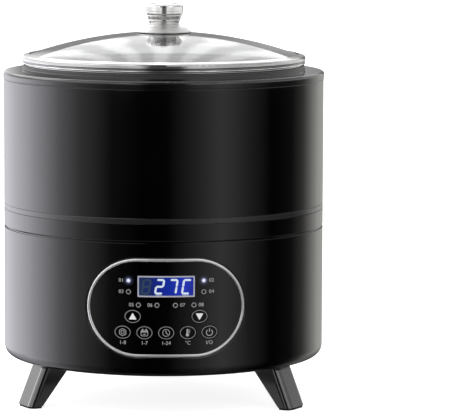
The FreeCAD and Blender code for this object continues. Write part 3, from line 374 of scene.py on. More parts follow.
@dataclass(frozen=True)
class Ink(Finish):
    """Screen print: a slightly patchy film."""

    colour: Colour = grey(0.8)
    roughness: Span = (0.35, 0.5)
    patch: float = 0.8 * MM
    rise: float = 0.004 * MM

    def compose(self, sheet: NodeSheet) -> None:
        """Patches of the film in colour and gloss."""
        patches = sheet.noise(self.patch, 3.0)
        sheet.shader_values(
            Base_Color=sheet.tones(patches, self.colour, (0.9, 1.0)),
            Roughness=sheet.spread(patches, MOST, self.roughness),
        )
        sheet.relief(patches, self.rise)


@dataclass(frozen=True)
class Segment(Finish):
    """A display's stroke: shows only its own slightly uneven light."""

    colour: Colour = (0.8, 0.87, 1.0)
    cell: float = 1.2 * MM

    def compose(self, sheet: NodeSheet) -> None:
        """Cells in the light; the surface itself reflects nothing."""
        sheet.shader_values(
            Base_Color=shade(BLACK),
            Specular_IOR_Level=0.0,
            Emission_Color=sheet.tones(sheet.noise(self.cell, 3.0), self.colour, (0.92, 1.0)),
            Emission_Strength=1.0,
        )


@dataclass(frozen=True)
class LampLit(Finish):
    """A finish near the panel's lit lamps, which gives their light off by the distance from them."""

    lamps: tuple[Place, ...] = ()
    reach: Span = (1.2 * MM, 5.0 * MM)
    fade: float = 3.0

    def glow(self, sheet: NodeSheet) -> Socket:
        """Light left at a point, from 1 at a lit lamp to 0 out of its reach.

        Args:
            sheet: The material's node tree.

        Returns:
            The light's output.
        """
        across, _, up = sheet.split(sheet.place())
        total: object = 0.0
        for x, z in self.lamps:
            aside, above = sheet.sum("SUBTRACT", across, x), sheet.sum("SUBTRACT", up, z)
            squares = sheet.sum("ADD", sheet.sum("MULTIPLY", aside, aside), sheet.sum("MULTIPLY", above, above))
            near = sheet.spread(sheet.sum("SQRT", squares), self.reach, (1.0, 0.0))
            total = sheet.sum("ADD", sheet.sum("POWER", near, self.fade), total)
        return total


@dataclass(frozen=True)
class GlossFascia(LampLit):
    """Gloss black acrylic front that carries a little light from the lit lamps."""

    colour: Colour = grey(0.0006, 0.0008)
    halo: Colour = (0.105, 0.119, 0.217)
    roughness: Span = (0.06, 0.10)
    wipe: float = 22 * MM
    wiped: Span = (0.3, 0.8)

    def compose(self, sheet: NodeSheet) -> None:
        """Wiping marks in the gloss, and a soft round glow at each lit lamp."""
        wipes = sheet.noise(self.wipe, 4.0)
        sheet.shader_values(
            Base_Color=sheet.tones(wipes, self.colour, (0.7, 1.4), NEARLY_ALL),
            Roughness=sheet.spread(wipes, self.wiped, self.roughness),
            Specular_IOR_Level=1.0,
            Emission_Color=sheet.ramp(self.glow(sheet), ((0.0, BLACK), (1.0, self.halo))),
            Emission_Strength=1.0,
        )


@dataclass(frozen=True)
class Backlight(Finish):
    """Display panel with an uneven blue backlight on its face and a dark frame behind."""

    stops: tuple[tuple[float, Colour], ...] = ()
    half: float = 20.6 * MM
    face_y: float = -118.9 * MM
    rest: Colour = (0.001, 0.001, 0.002)
    cell: float = 3.0 * MM
    sway: float = 0.05

    def compose(self, sheet: NodeSheet) -> None:
        """Backlight by place across the face; the sides stay dark."""
        across, deep, _ = sheet.split(sheet.place())
        share = sheet.spread(across, (-self.half, self.half))
        cells = sheet.noise(self.cell, 3.0)
        wave = sheet.sum("ADD", share, sheet.spread(cells, NEARLY_ALL, (-self.sway, self.sway)))
        sheet.shader_values(
            Base_Color=sheet.tones(cells, self.rest, (1.0, 2.0), NEARLY_ALL),
            Specular_IOR_Level=0.0,
            Emission_Color=sheet.ramp(wave, self.stops),
            Emission_Strength=sheet.sum("LESS_THAN", deep, self.face_y),
        )


@dataclass(frozen=True)
class Lens(LampLit):
    """Small lamp lenses: the lit ones have a bright core in a bluer edge, the rest are smoky."""

    smoke: Colour = grey(0.012, 0.014)
    edge: Colour = (0.060, 0.070, 0.200)
    core: Colour = (0.84, 0.86, 1.0)
    roughness: Span = (0.12, 0.25)
    cloud: float = 0.7 * MM
    sway: float = 0.04

    def compose(self, sheet: NodeSheet) -> None:
        """The lamp's light through a slightly cloudy body."""
        cloud = sheet.noise(self.cloud)
        light = sheet.sum("ADD", self.glow(sheet), sheet.spread(cloud, NEARLY_ALL, (-self.sway, self.sway)))
        sheet.shader_values(
            Base_Color=sheet.tones(cloud, self.smoke, (0.7, 1.3), NEARLY_ALL),
            Roughness=sheet.spread(cloud, NEARLY_ALL, self.roughness),
            Emission_Color=sheet.ramp(light, ((0.05, BLACK), (0.12, self.edge), (0.75, self.core))),
            Emission_Strength=1.0,
        )


@dataclass(frozen=True)
class Laminate(Finish):
    """Circuit board: solder mask over tracks, with fine pads."""

    mask: Colour = (0.01, 0.09, 0.035)
    track: Colour = (0.02, 0.15, 0.06)
    pitch: float = 2.6 * MM
    track_share: float = 0.07
    weave: float = 0.5 * MM
    roughness: Span = (0.25, 0.4)
    rise: float = 0.02 * MM

    def compose(self, sheet: NodeSheet) -> None:
        """A brick pattern stands for the tracks under the mask."""
        bricks = sheet.node("TexBrick", {
            "Vector": sheet.place(), "Scale": 1 / self.pitch, "Mortar Size": self.track_share,
            "Color1": shade(self.mask), "Color2": shade(self.mask, 0.85), "Mortar": shade(self.track),
        })
        gloss = sheet.spread(sheet.noise(self.weave), NEARLY_ALL, self.roughness)
        sheet.shader_values(Base_Color=bricks.outputs[0], Roughness=gloss)
        sheet.relief(bricks.outputs[1], self.rise, 0.5)


@dataclass(frozen=True)
class Striped(Finish):
    """Pieces made of many thin layers or wires side by side."""

    light: Colour = grey(0.5)
    dark: Colour = grey(0.3)
    pitch: float = 1.27 * MM
    across: Colour = (1.0, 0.0, 0.0)
    metallic: float = 0.0
    roughness: Span = (0.35, 0.5)
    scuff: float = 0.6 * MM
    rise: float = 0.1 * MM

    def compose(self, sheet: NodeSheet) -> None:
        """A wave along one direction gives the layers and their relief."""
        turned = sheet.node("VectorMath", {0: sheet.place(), 1: self.across}, operation="DOT_PRODUCT")
        phase = sheet.sum("MULTIPLY", turned.outputs["Value"], 2 * math.pi / self.pitch)
        wave = sheet.spread(sheet.sum("SINE", phase), (-1.0, 1.0))
        sheet.shader_values(
            Base_Color=sheet.ramp(wave, ((0.1, self.dark), (0.6, self.light))),
            Metallic=self.metallic,
            Roughness=sheet.spread(sheet.noise(self.scuff), MOST, self.roughness),
        )
        sheet.relief(wave, self.rise)


SATIN_BLACK = Moulding("satin_black_shell", grey(0.0006, 0.0007), (0.08, 0.12), specular=1.0)
RING_BLACK = SteppedMoulding("stepped_black_ring", grey(0.0010, 0.0011), (0.10, 0.14), specular=1.0)
BASE_BLACK = Moulding("satin_black_base", grey(0.0006, 0.0007), (0.08, 0.12), specular=1.0)
BAND_GREY = Moulding("satin_charcoal_band", grey(0.0178, 0.0182), (0.13, 0.17), specular=1.0)
LEG_BLACK = Moulding("grained_leg", grey(0.0044), (0.12, 0.17), 1.1 * MM, 0.030 * MM, specular=1.0, coat=1.0)
PLATE_BLACK = Moulding("matt_base_plate", grey(0.012), (0.5, 0.62), 0.8 * MM, 0.012 * MM)
INLET_BLACK = Moulding("inlet_plastic", grey(0.012), (0.4, 0.5), 0.6 * MM, 0.008 * MM)
KEY_BLACK = Moulding("key_gloss", grey(0.0008, 0.0009), (0.08, 0.12), 0.4 * MM, 0.001 * MM)
RUBBER = Moulding("foot_rubber", grey(0.016, 0.015), (0.7, 0.85), 0.5 * MM, 0.03 * MM, 0.2, 0.3)
WASHER_RUBBER = Moulding("knob_washer_rubber", grey(0.02), (0.6, 0.75), 0.5 * MM, 0.02 * MM, 0.2, 0.3)
FRAME_WHITE = Moulding("display_frame_white", grey(0.42, 0.475), (0.35, 0.45), 0.4 * MM, 0.003 * MM, 0.05)
SWITCH_BLACK = Moulding("switch_plastic", grey(0.02), (0.45, 0.55))
RELAY_BLUE = Moulding("relay_case", (0.02, 0.09, 0.35), (0.35, 0.45))
SLEEVE = Moulding("capacitor_sleeve", (0.015, 0.02, 0.06), (0.25, 0.35), coat=0.3)
TERMINAL = Moulding("terminal_block", (0.06, 0.20, 0.10), (0.4, 0.5))
CERAMIC = Moulding("fuse_ceramic", (0.72, 0.69, 0.60), (0.45, 0.6), 0.4 * MM, 0.01 * MM, 0.08)
LEAD_WHITE = Moulding("silicone_lead", (0.70, 0.69, 0.66), (0.45, 0.55), 0.4 * MM, 0.006 * MM, 0.06)
LEAD_BROWN = Moulding("mains_lead", (0.14, 0.05, 0.02), (0.4, 0.5))
LEAD_BLACK = Moulding("sensor_lead", grey(0.015), (0.4, 0.5))
LAMP_WHITE = Moulding("lamp_case", grey(0.75, 0.70), (0.3, 0.4), 0.4 * MM, 0.003 * MM, 0.05)
GLASS = Clear("tempered_glass", (0.965, 0.985, 0.975), (0.0, 0.015))
WINDOW = Clear("display_window", (0.93, 0.94, 0.96), (0.01, 0.04), 1.49)
RIM_STEEL = RolledMetal("rim_steel", grey(0.86, 0.855), (0.10, 0.16), Grain.TURNED, 0.25 * MM, 0.0003 * MM)
KNOB_STEEL = Metal("polished_knob", (0.80, 0.795, 0.79), (0.13, 0.20), Grain.TURNED, 0.2 * MM, 0.0005 * MM)
SKIRT_STEEL = Metal("satin_knob_skirt", (0.70, 0.695, 0.69), (0.38, 0.48), Grain.TURNED, 0.2 * MM, 0.0005 * MM)
POT_STEEL = Metal("brushed_pot", (0.62, 0.61, 0.59), (0.20, 0.32), Grain.TURNED, 0.3 * MM, 0.0012 * MM)
CHROME = Metal("panel_chrome", grey(0.80, 0.81), (0.20, 0.28), metallic=0.72)
ZINC = Metal("zinc_plate", grey(0.55, 0.52), (0.28, 0.42))
LINER_ALUMINIUM = Metal("drawn_aluminium", grey(0.70), (0.28, 0.40), Grain.DRAWN, 0.4 * MM, 0.0015 * MM)
CAST_ALUMINIUM = Metal("cast_aluminium", grey(0.58, 0.57), (0.40, 0.55))
ELEMENT_STEEL = Metal("element_tube", (0.34, 0.32, 0.30), (0.35, 0.5))
BRASS = Metal("pin_brass", (0.72, 0.58, 0.32), (0.18, 0.30), Grain.DRAWN)
BOARD = Laminate("circuit_board")
CORE = Striped("transformer_core", (0.36, 0.34, 0.31), (0.20, 0.18, 0.16), 0.5 * MM, (0.0, 1.0, 0.0), 0.6)
RIBBON = Striped("ribbon_cable", grey(0.42, 0.41), grey(0.22))
WHITE_INK = Ink("white_print", grey(0.86, 0.865))
GREY_INK = Ink("grey_print", grey(0.41, 0.42))
RING_INK = Ink("lamp_ring_print", grey(0.44, 0.455))
LINE_INK = Ink("outline_print", grey(0.265, 0.274))
LEVEL_INK = Ink("level_print", grey(0.05, 0.055), (0.4, 0.5))
LIT_SEGMENT = Segment("lit_segment", (0.78, 0.88, 0.97))
FAINT_SEGMENT = Segment("faint_segment", (0.036, 0.062, 0.110))
DISPLAY_LIGHT = Backlight("display_backlight", (
    (0.00, (0.018, 0.036, 0.105)),
    (0.22, (0.012, 0.024, 0.150)),
    (0.36, (0.008, 0.022, 0.280)),
    (0.60, (0.009, 0.030, 0.370)),
    (0.85, (0.016, 0.036, 0.520)),
    (1.00, (0.008, 0.020, 0.300)),
))


def dress(node: str, finish: Finish) -> None:
    """Puts a finish on all material slots of a CAD node.

    Args:
        node: Name of the CAD node.
        finish: The finish that it gets.
    """
    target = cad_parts[node]
    if not target.material_slots:
        target.data.materials.append(finish.material())
    for held in target.material_slots:
        held.material = finish.material()
    log.info("dressed %s in %s", node, finish.name)


class Bench:
    """Flat-work tools: a print is cut flat in front of the panel, then laid on what carries it.

    A flat piece is given by its middle, x across and z up, and by its full width and height.
    """

    flat_y = -140 * MM
    face_on = (math.pi / 2, 0.0, 0.0)
    former_sides = 720
    former_tall = 300 * MM
    wrap_level = 100 * MM
    type_steps = 4

    @staticmethod
    def clear() -> None:
        """Leaves edit mode and deselects everything."""
        if bpy.context.object and bpy.context.object.mode != "OBJECT":
            bpy.ops.object.mode_set(mode="OBJECT")
        bpy.ops.object.select_all(action="DESELECT")

    @staticmethod
    @contextmanager
    def editing(piece: Piece, wanted: Callable[[Vector], bool] | None = None) -> Iterator[None]:
        """Edit mode on one piece with its faces selected.

        Args:
            piece: The object to work on.
            wanted: Test of a face's middle, or None for all faces.

        Yields:
            Nothing; the piece is in edit mode meanwhile.
        """
        bpy.context.view_layer.objects.active = piece
        bpy.ops.object.mode_set(mode="EDIT")
        bpy.ops.mesh.select_mode(type="FACE")
        bpy.ops.mesh.select_all(action="SELECT" if wanted is None else "DESELECT")
        if wanted is not None:
            bpy.ops.object.mode_set(mode="OBJECT")
            for face in piece.data.polygons:
                face.select = wanted(face.center)
            bpy.ops.object.mode_set(mode="EDIT")
        yield
        bpy.ops.object.mode_set(mode="OBJECT")

    @staticmethod
    def settle(wide: float = 1.0, tall: float = 1.0) -> Piece:
        """The piece just added, made as wide and tall as asked, with its place, turn and size in its mesh.

        Args:
            wide, tall: Its full size, where it was added with a size of one.

        Returns:
            The piece.
        """
        piece = bpy.context.object
        piece.scale = (wide, tall, 1.0)
        bpy.ops.object.transform_apply(location=True, rotation=True, scale=True)
        return piece

    @staticmethod
    def apply_modifiers(piece: Piece) -> None:
        """Applies every modifier of a piece in order."""
        bpy.context.view_layer.objects.active = piece
        for modifier in list(piece.modifiers):
            bpy.ops.object.modifier_apply(modifier=modifier.name)

    def disc(self, x: float, z: float, wide: float, tall: float, sides: int = 40) -> Piece:
        """A flat oval, or a regular shape with few sides and one corner up.

        Args:
            x, z: Its middle.
            wide, tall: Its full size.
            sides: Corners round it.

        Returns:
            The flat piece.
        """
        self.clear()
        bpy.ops.mesh.primitive_circle_add(
            vertices=sides, radius=0.5, fill_type="NGON", location=(x, self.flat_y, z), rotation=self.face_on)
        return self.settle(wide, tall)

    def hollow(self, piece: Piece, stroke: float) -> Piece:
        """Leaves only an outline of a flat piece.

        Args:
            piece: The flat piece.
            stroke: Width of the line.

        Returns:
            The same piece.
        """
        with self.editing(piece):
            bpy.ops.mesh.inset(thickness=stroke)
            bpy.ops.mesh.delete(type="FACE")
        return piece

    def ring(self, x: float, z: float, wide: float, tall: float, stroke: float, sides: int = 40) -> Piece:
        """A flat outline of an oval, with a line as wide as the stroke."""
        return self.hollow(self.disc(x, z, wide, tall, sides), stroke)

    def bar(self, x: float, z: float, wide: float, tall: float, turn: float = 0.0, corner: float = 0.0,
            steps: int = 3) -> Piece:
        """A flat bar, turned in its plane, with cut or rounded corners.

        Args:
            x, z: Its middle.
            wide, tall: Its full size before the turn.
            turn: Clockwise turn in radians.
            corner: How much of each corner goes.
            steps: Facets of each corner; one cuts it straight.

        Returns:
            The flat piece.
        """
        self.clear()
        tilt = (self.face_on[0], turn, 0.0)
        bpy.ops.mesh.primitive_plane_add(size=1.0, location=(x, self.flat_y, z), rotation=tilt)
        piece = self.settle(wide, tall)
        if corner > 0.0:
            with self.editing(piece):
                bpy.ops.mesh.bevel(offset=corner, segments=steps, affect="VERTICES")
        return piece

    def box_line(self, x: float, z: float, wide: float, tall: float, stroke: float, corner: float) -> Piece:
        """A flat outline of a rounded rectangle, with a line as wide as the stroke."""
        return self.hollow(self.bar(x, z, wide, tall, corner=corner), stroke)

    def signs(self, text: str, x: float, z: float, size: float) -> Piece:
        """Flat numbers or signs, set round their middle.

        Args:
            text: What is set.
            x, z: Its middle.
            size: Height of the type's body.

        Returns:
            The flat piece, as a mesh.
        """
        self.clear()
        bpy.ops.object.text_add(location=(x, self.flat_y, z), rotation=self.face_on)
        setting = bpy.context.object.data
        setting.body = text
        setting.size = size
        setting.align_x = setting.align_y = "CENTER"
        setting.resolution_u = self.type_steps
        bpy.ops.object.convert(target="MESH")
        return self.settle()

    def join(self, pieces: Sequence[Piece], name: str) -> Piece:
        """Makes one piece of several, at the frame's origin with its place in its mesh.

        Args:
            pieces: The flat pieces.
            name: Name of the whole.

        Returns:
            The joined piece.
        """
        self.clear()
        for piece in pieces:
            piece.select_set(True)
        bpy.context.view_layer.objects.active = pieces[0]
        if len(pieces) > 1:
            bpy.ops.object.join()
        whole = bpy.context.object
        whole.name = name
        whole.data.name = name
        whole.data.transform(whole.matrix_world)
        whole.matrix_world = Matrix.Identity(4)
        return whole

    def former(self, radius: float, middle: float) -> Piece:
        """An upright cylinder to press prints on.

        Args:
            radius: Its radius, about the upright axis.
            middle: Height of its middle.

        Returns:
            The cylinder, selected.
        """
        self.clear()
        bpy.ops.mesh.primitive_cylinder_add(
            vertices=self.former_sides, radius=radius, depth=self.former_tall, end_fill_type="NOTHING",
            location=(0.0, 0.0, middle))
        return bpy.context.object

    def press(self, piece: Piece, former: Piece) -> None:
        """Presses a print backwards on to a former, which then goes.

        Args:
            piece: The print.
            former: What it is laid on.
        """
        lay = piece.modifiers.new("lay_on_curve", "SHRINKWRAP")
        lay.target = former
        lay.wrap_method = "PROJECT"
        lay.use_project_y = True
        self.apply_modifiers(piece)
        bpy.data.objects.remove(former)

    def wrap(self, piece: Piece, radius: float, film: float) -> Piece:
        """Lays a flat print on an upright cylinder and gives it a film's thickness.

        Args:
            piece: The flat print.
            radius: Radius of what carries it.
            film: Thickness of the print.

        Returns:
            The finished print.
        """
        former = self.former(radius, self.wrap_level)
        with self.editing(piece):
            bpy.ops.mesh.subdivide(number_cuts=1)
        self.press(piece, former)
        return self.thicken(piece, film)

    def stand(self, piece: Piece, face_y: float, film: float) -> Piece:
        """Moves a flat print on to an upright flat face and gives it a film's thickness."""
        piece.data.transform(Matrix.Translation((0.0, face_y - self.flat_y, 0.0)))
        return self.thicken(piece, film)

    def thicken(self, piece: Piece, film: float) -> Piece:
        """Gives a print its thickness, outwards from what carries it.

        Args:
            piece: The print, facing outwards.
            film: Thickness.

        Returns:
            The same piece.
        """
        solid = piece.modifiers.new("film", "SOLIDIFY")
        solid.thickness = film
        solid.offset = 1.0
        self.apply_modifiers(piece)
        return piece


BENCH = Bench()


def mount(piece: Piece, body: str, finish: Finish) -> None:
    """Finishes an added piece and lets it ride on its body.

    Args:
        piece: The finished mesh.
        body: Body that carries it.
        finish: Its surface.
    """
    piece.data.materials.clear()
    piece.data.materials.append(finish.material())
    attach(piece, body)
    log.info("added %s on %s in %s", piece.name, body, finish.name)


class Icon(Enum):
    """Plain signs on the keys."""

    UP = "up"
    DOWN = "down"
    NUT = "nut"
    CALENDAR = "calendar"
    CLOCK = "clock"
    THERMOMETER = "thermometer"
    POWER = "power"


@dataclass(frozen=True)
class IconPrint:
    """Draws one sign flat, with places and sizes in millimetres from a key's middle."""

    x: float
    z: float
    line: float = 0.4
    arrow: float = 6.7
    arrow_drop: float = 0.6
    arrow_corner: float = 0.55
    power_drop: float = 0.3
    power_gap: float = math.radians(38)

    def draw(self, icon: Icon) -> list[Piece]:
        """The flat pieces of a sign."""
        return getattr(self, icon.value)()

    def cut(self, shape: Callable[..., Piece], right: float, up: float, *sizes: float, **more: float) -> Piece:
        """One of the bench's flat shapes by the key's middle; what is named goes on as it is."""
        return shape(self.x + right * MM, self.z + up * MM, *(size * MM for size in sizes), **more)

    def up(self) -> list[Piece]:
        """A solid triangle with its point up."""
        return [self.triangle(-self.arrow_drop)]

    def down(self) -> list[Piece]:
        """A solid triangle with its point down."""
        return [self.triangle(self.arrow_drop)]

    def triangle(self, rise: float) -> Piece:
        """A solid triangle with softened corners, which points away from where its middle is moved.

        Args:
            rise: How far its middle is above the key's.

        Returns:
            The flat piece.
        """
        piece = self.cut(BENCH.disc, 0.0, rise, self.arrow, self.arrow, sides=3)
        if rise > 0.0:
            middle = Vector((self.x, BENCH.flat_y, self.z + rise * MM))
            over = Matrix.Rotation(math.pi, 4, "Y")
            piece.data.transform(Matrix.Translation(middle) @ over @ Matrix.Translation(-middle))
        with BENCH.editing(piece):
            bpy.ops.mesh.bevel(offset=self.arrow_corner * MM, segments=3, affect="VERTICES")
        return piece

    def nut(self) -> list[Piece]:
        """A hexagon with a ring in it, for the programme key."""
        outer = self.cut(BENCH.ring, 0.0, 0.0, 6.0, 6.0, self.line, sides=6)
        return [outer, self.cut(BENCH.ring, 0.0, 0.0, 2.9, 2.9, self.line)]

    def calendar(self) -> list[Piece]:
        """A page with a head, two tabs and one marked day."""
        page = self.cut(BENCH.box_line, 0.0, -0.3, 5.4, 4.6, self.line, 0.9)
        bars = ((0.0, 0.75, 4.6, 0.9), (-1.35, 2.25, 0.8, 1.3), (1.35, 2.25, 0.8, 1.3), (0.0, -1.1, 1.9, 0.5))
        return [page, *(self.cut(BENCH.bar, *bar) for bar in bars)]

    def clock(self) -> list[Piece]:
        """A dial with two hands."""
        dial = self.cut(BENCH.ring, 0.0, 0.0, 5.6, 5.6, self.line)
        minute = self.cut(BENCH.bar, -0.1, 0.75, 0.5, 1.9)
        return [dial, minute, self.cut(BENCH.bar, 0.55, -0.55, 0.5, 1.9, turn=-math.pi / 4)]

    def thermometer(self) -> list[Piece]:
        """A bulb with a stem and three marks."""
        bulb = self.cut(BENCH.disc, -0.3, -1.6, 2.5, 2.5)
        stem = self.cut(BENCH.bar, -0.3, 0.7, 1.4, 4.2, corner=0.69 * MM)
        return [bulb, stem, *(self.cut(BENCH.bar, 1.3, level, 0.9, 0.4) for level in (0.2, 1.2, 2.2))]

    def power(self) -> list[Piece]:
        """A broken ring with a bar in its gap."""
        ring = self.cut(BENCH.ring, 0.0, -self.power_drop, 5.2, 5.2, 0.55, sides=48)
        level = self.z - self.power_drop * MM
        with BENCH.editing(ring, lambda at: abs(math.atan2(at.x - self.x, at.z - level)) < self.power_gap):
            bpy.ops.mesh.delete(type="FACE")
        return [ring, self.cut(BENCH.bar, 0.0, 1.55, 0.6, 2.7)]


@dataclass
class SubAssembly:
    """A group of CAD nodes with their finishes."""

    finishes: dict[str, Finish] = field(default_factory=dict)

    def build(self) -> None:
        """Dresses the group's nodes."""
        for node, finish in self.finishes.items():
            dress(node, finish)


@dataclass
class Lid(SubAssembly):
    """Glass lid with its steel rim and turned knob."""

    finishes: dict[str, Finish] = field(default_factory=lambda: {
        "lid_glass": GLASS, "lid_rim": RIM_STEEL, "knob_grip": KNOB_STEEL, "knob_skirt": SKIRT_STEEL,
        "knob_screw": ZINC, "knob_washer": WASHER_RUBBER,
    })


@dataclass
class Pot(SubAssembly):
    """Steel inner pot with a scale of litres on its wall."""

    finishes: dict[str, Finish] = field(default_factory=lambda: {"inner_pot": POT_STEEL})
    wall_radius: float = 100.5 * MM
    wall_middle: float = 150 * MM
    floor: float = 93.0 * MM
    film: float = 0.04 * MM
    litre: float = 31.5 * MM
    litres: int = 4
    mark_wide: float = 9.0 * MM
    mark_tall: float = 0.7 * MM
    type_size: float = 7.0 * MM

    def build(self) -> None:
        """Dresses the pot and prints its scale on the far side of the wall, facing inwards."""
        super().build()
        marks = []
        for count in range(1, self.litres + 1):
            level = self.floor + count * self.litre
            marks.append(BENCH.bar(0.0, level, self.mark_wide, self.mark_tall))
            half_way = level - self.litre / 2
            marks.append(BENCH.bar(-0.25 * self.mark_wide, half_way, self.mark_wide / 2, self.mark_tall))
            marks.append(BENCH.signs(str(count), self.mark_wide, level, self.type_size))
        scale = BENCH.join(marks, "pot_scale")
        scale.data.transform(Matrix.Translation((0.0, -BENCH.flat_y, 0.0)))
        BENCH.press(scale, BENCH.former(self.wall_radius - self.film, self.wall_middle))
        mount(BENCH.thicken(scale, 0.5 * self.film), "pot", LEVEL_INK)


@dataclass
class Body(SubAssembly):
    """Black shell, top ring, band, base with legs, and what holds them together."""

    finishes: dict[str, Finish] = field(default_factory=lambda: {
        "top_ring": RING_BLACK, "upper_shell": SATIN_BLACK, "trim_band": BAND_GREY, "base_housing": BASE_BLACK,
        "well_liner": LINER_ALUMINIUM, "base_plate": PLATE_BLACK, "tie_rods": ZINC, "liner_screws": ZINC,
        "base_screws": ZINC, "leg_bolts": ZINC, "leg_left": LEG_BLACK, "foot_pad_left": RUBBER,
        "leg_right": LEG_BLACK, "foot_pad_right": RUBBER, "leg_rear": LEG_BLACK, "foot_pad_rear": RUBBER,
    })


@dataclass
class Works(SubAssembly):
    """Heater, power supply and inlet inside the base."""

    finishes: dict[str, Finish] = field(default_factory=lambda: {
        "heater_plate": CAST_ALUMINIUM, "heater_element": ELEMENT_STEEL, "heater_screws": ZINC,
        "temperature_sensor": BRASS, "sensor_bracket": ZINC, "thermal_fuse": CERAMIC, "fuse_clip": ZINC,
        "power_board": BOARD, "power_board_screws": ZINC, "power_transformer": CORE, "power_relay": RELAY_BLUE,
        "power_capacitors": SLEEVE, "terminal_block": TERMINAL, "inlet_body": INLET_BLACK, "inlet_pins": BRASS,
        "heater_leads": LEAD_WHITE, "inlet_leads": LEAD_BROWN, "sensor_lead": LEAD_BLACK, "ribbon_cable": RIBBON,
        "control_board": BOARD, "control_board_screws": ZINC, "tact_switches": SWITCH_BLACK,
        "indicator_leds": LAMP_WHITE,
    })


@dataclass(frozen=True)
class KeyFace:
    """What one key shows: its sign, and a plain sign printed under it."""

    node: str
    icon: Icon
    note: str = ""


@dataclass
class ControlPanel(SubAssembly):
    """Stadium panel with chrome ring, display, lamps and keys.

    A lamp is given by its place across and up, and the place across of its number, in millimetres.
    """

    fascia_radius: float = 124.52 * MM
    key_radius: float = 124.92 * MM
    lens_radius: float = 124.62 * MM
    film: float = 0.04 * MM
    lamp_reach: Span = (0.2 * MM, 2.1 * MM)
    lamp_fade: float = 1.0
    lamp_outline: float = 3.5 * MM
    lamp_line: float = 0.36 * MM
    outline: tuple[float, float, float, int] = (11.8 * MM, 9.6 * MM, 0.42 * MM, 64)
    note_drop: float = 7.9 * MM
    type_size: float = 3.9 * MM
    lamps: tuple[tuple[float, float, float], ...] = (
        (-28.2, 107.3, -33.6), (28.2, 107.3, 34.0), (-28.2, 98.8, -33.6), (28.2, 98.8, 34.0),
        (-20.8, 89.0, -26.0), (-6.9, 89.0, -12.1), (6.9, 89.0, 12.3), (20.8, 89.0, 26.2),
    )
    lit_lamps: int = 2
    keys: tuple[KeyFace, ...] = (
        KeyFace("key_up", Icon.UP), KeyFace("key_down", Icon.DOWN),
        KeyFace("key_function", Icon.NUT, "1-8"), KeyFace("key_days", Icon.CALENDAR, "1-7"),
        KeyFace("key_hours", Icon.CLOCK, "1-24"), KeyFace("key_temperature", Icon.THERMOMETER, "°C"),
        KeyFace("key_power", Icon.POWER, "I/O"),
    )

    def build(self) -> None:
        """Dresses the panel's nodes and prints its signs."""
        lit = tuple((x * MM, z * MM) for x, z, _ in self.lamps[:self.lit_lamps])
        lens = Lens("lamp_lens", lit, self.lamp_reach, self.lamp_fade)
        self.finishes = {
            "panel_trim": CHROME, "panel_fascia": GlossFascia("gloss_fascia", lit), "display_frame": FRAME_WHITE,
            "display_window": WINDOW, "indicator_lenses": lens, "lcd_module": DISPLAY_LIGHT,
        }
        super().build()
        for key in self.keys:
            dress(key.node, KEY_BLACK)
            self.print_key(key)
        self.print_lamps()
        self.print_notes()
        Display().build()

    def middle(self, node: str) -> Place:
        """Middle of a node, across and up."""
        low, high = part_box(node)
        return (low.x + high.x) / 2, (low.z + high.z) / 2

    def stamp(self, name: str, pieces: list[Piece], radius: float, ink: Ink, body: str = "housing") -> None:
        """Joins flat pieces to one print, lays it on a curve of a radius and mounts it on the body below."""
        mount(BENCH.wrap(BENCH.join(pieces, name), radius, self.film), body, ink)

    def print_key(self, key: KeyFace) -> None:
        """Prints a key's outline and sign on its cap.

        Args:
            key: The key and what it shows.
        """
        x, z = self.middle(key.node)
        body = f"{key.node}_body"
        ink = WHITE_INK if key.icon in (Icon.UP, Icon.DOWN) else GREY_INK
        self.stamp(f"{key.node}_outline", [BENCH.ring(x, z, *self.outline)], self.key_radius, LINE_INK, body)
        self.stamp(f"{key.node}_sign", IconPrint(x, z).draw(key.icon), self.key_radius, ink, body)

    def print_lamps(self) -> None:
        """Prints an outline on each lamp that isn't lit."""
        size, unlit = self.lamp_outline, self.lamps[self.lit_lamps:]
        rings = [BENCH.ring(x * MM, z * MM, size, size, self.lamp_line) for x, z, _ in unlit]
        self.stamp("lamp_outlines", rings, self.lens_radius, RING_INK)

    def print_notes(self) -> None:
        """Prints the lamps' numbers and the notes under the keys."""
        notes = []
        for number, (_, z, note_x) in enumerate(self.lamps, 1):
            notes.append(BENCH.signs(f"{number:02d}", note_x * MM, z * MM, self.type_size))
        for key in self.keys:
            if key.note:
                x, z = self.middle(key.node)
                notes.append(BENCH.signs(key.note, x, z - self.note_drop, self.type_size))
        self.stamp("panel_numbers", notes, self.fascia_radius, GREY_INK)


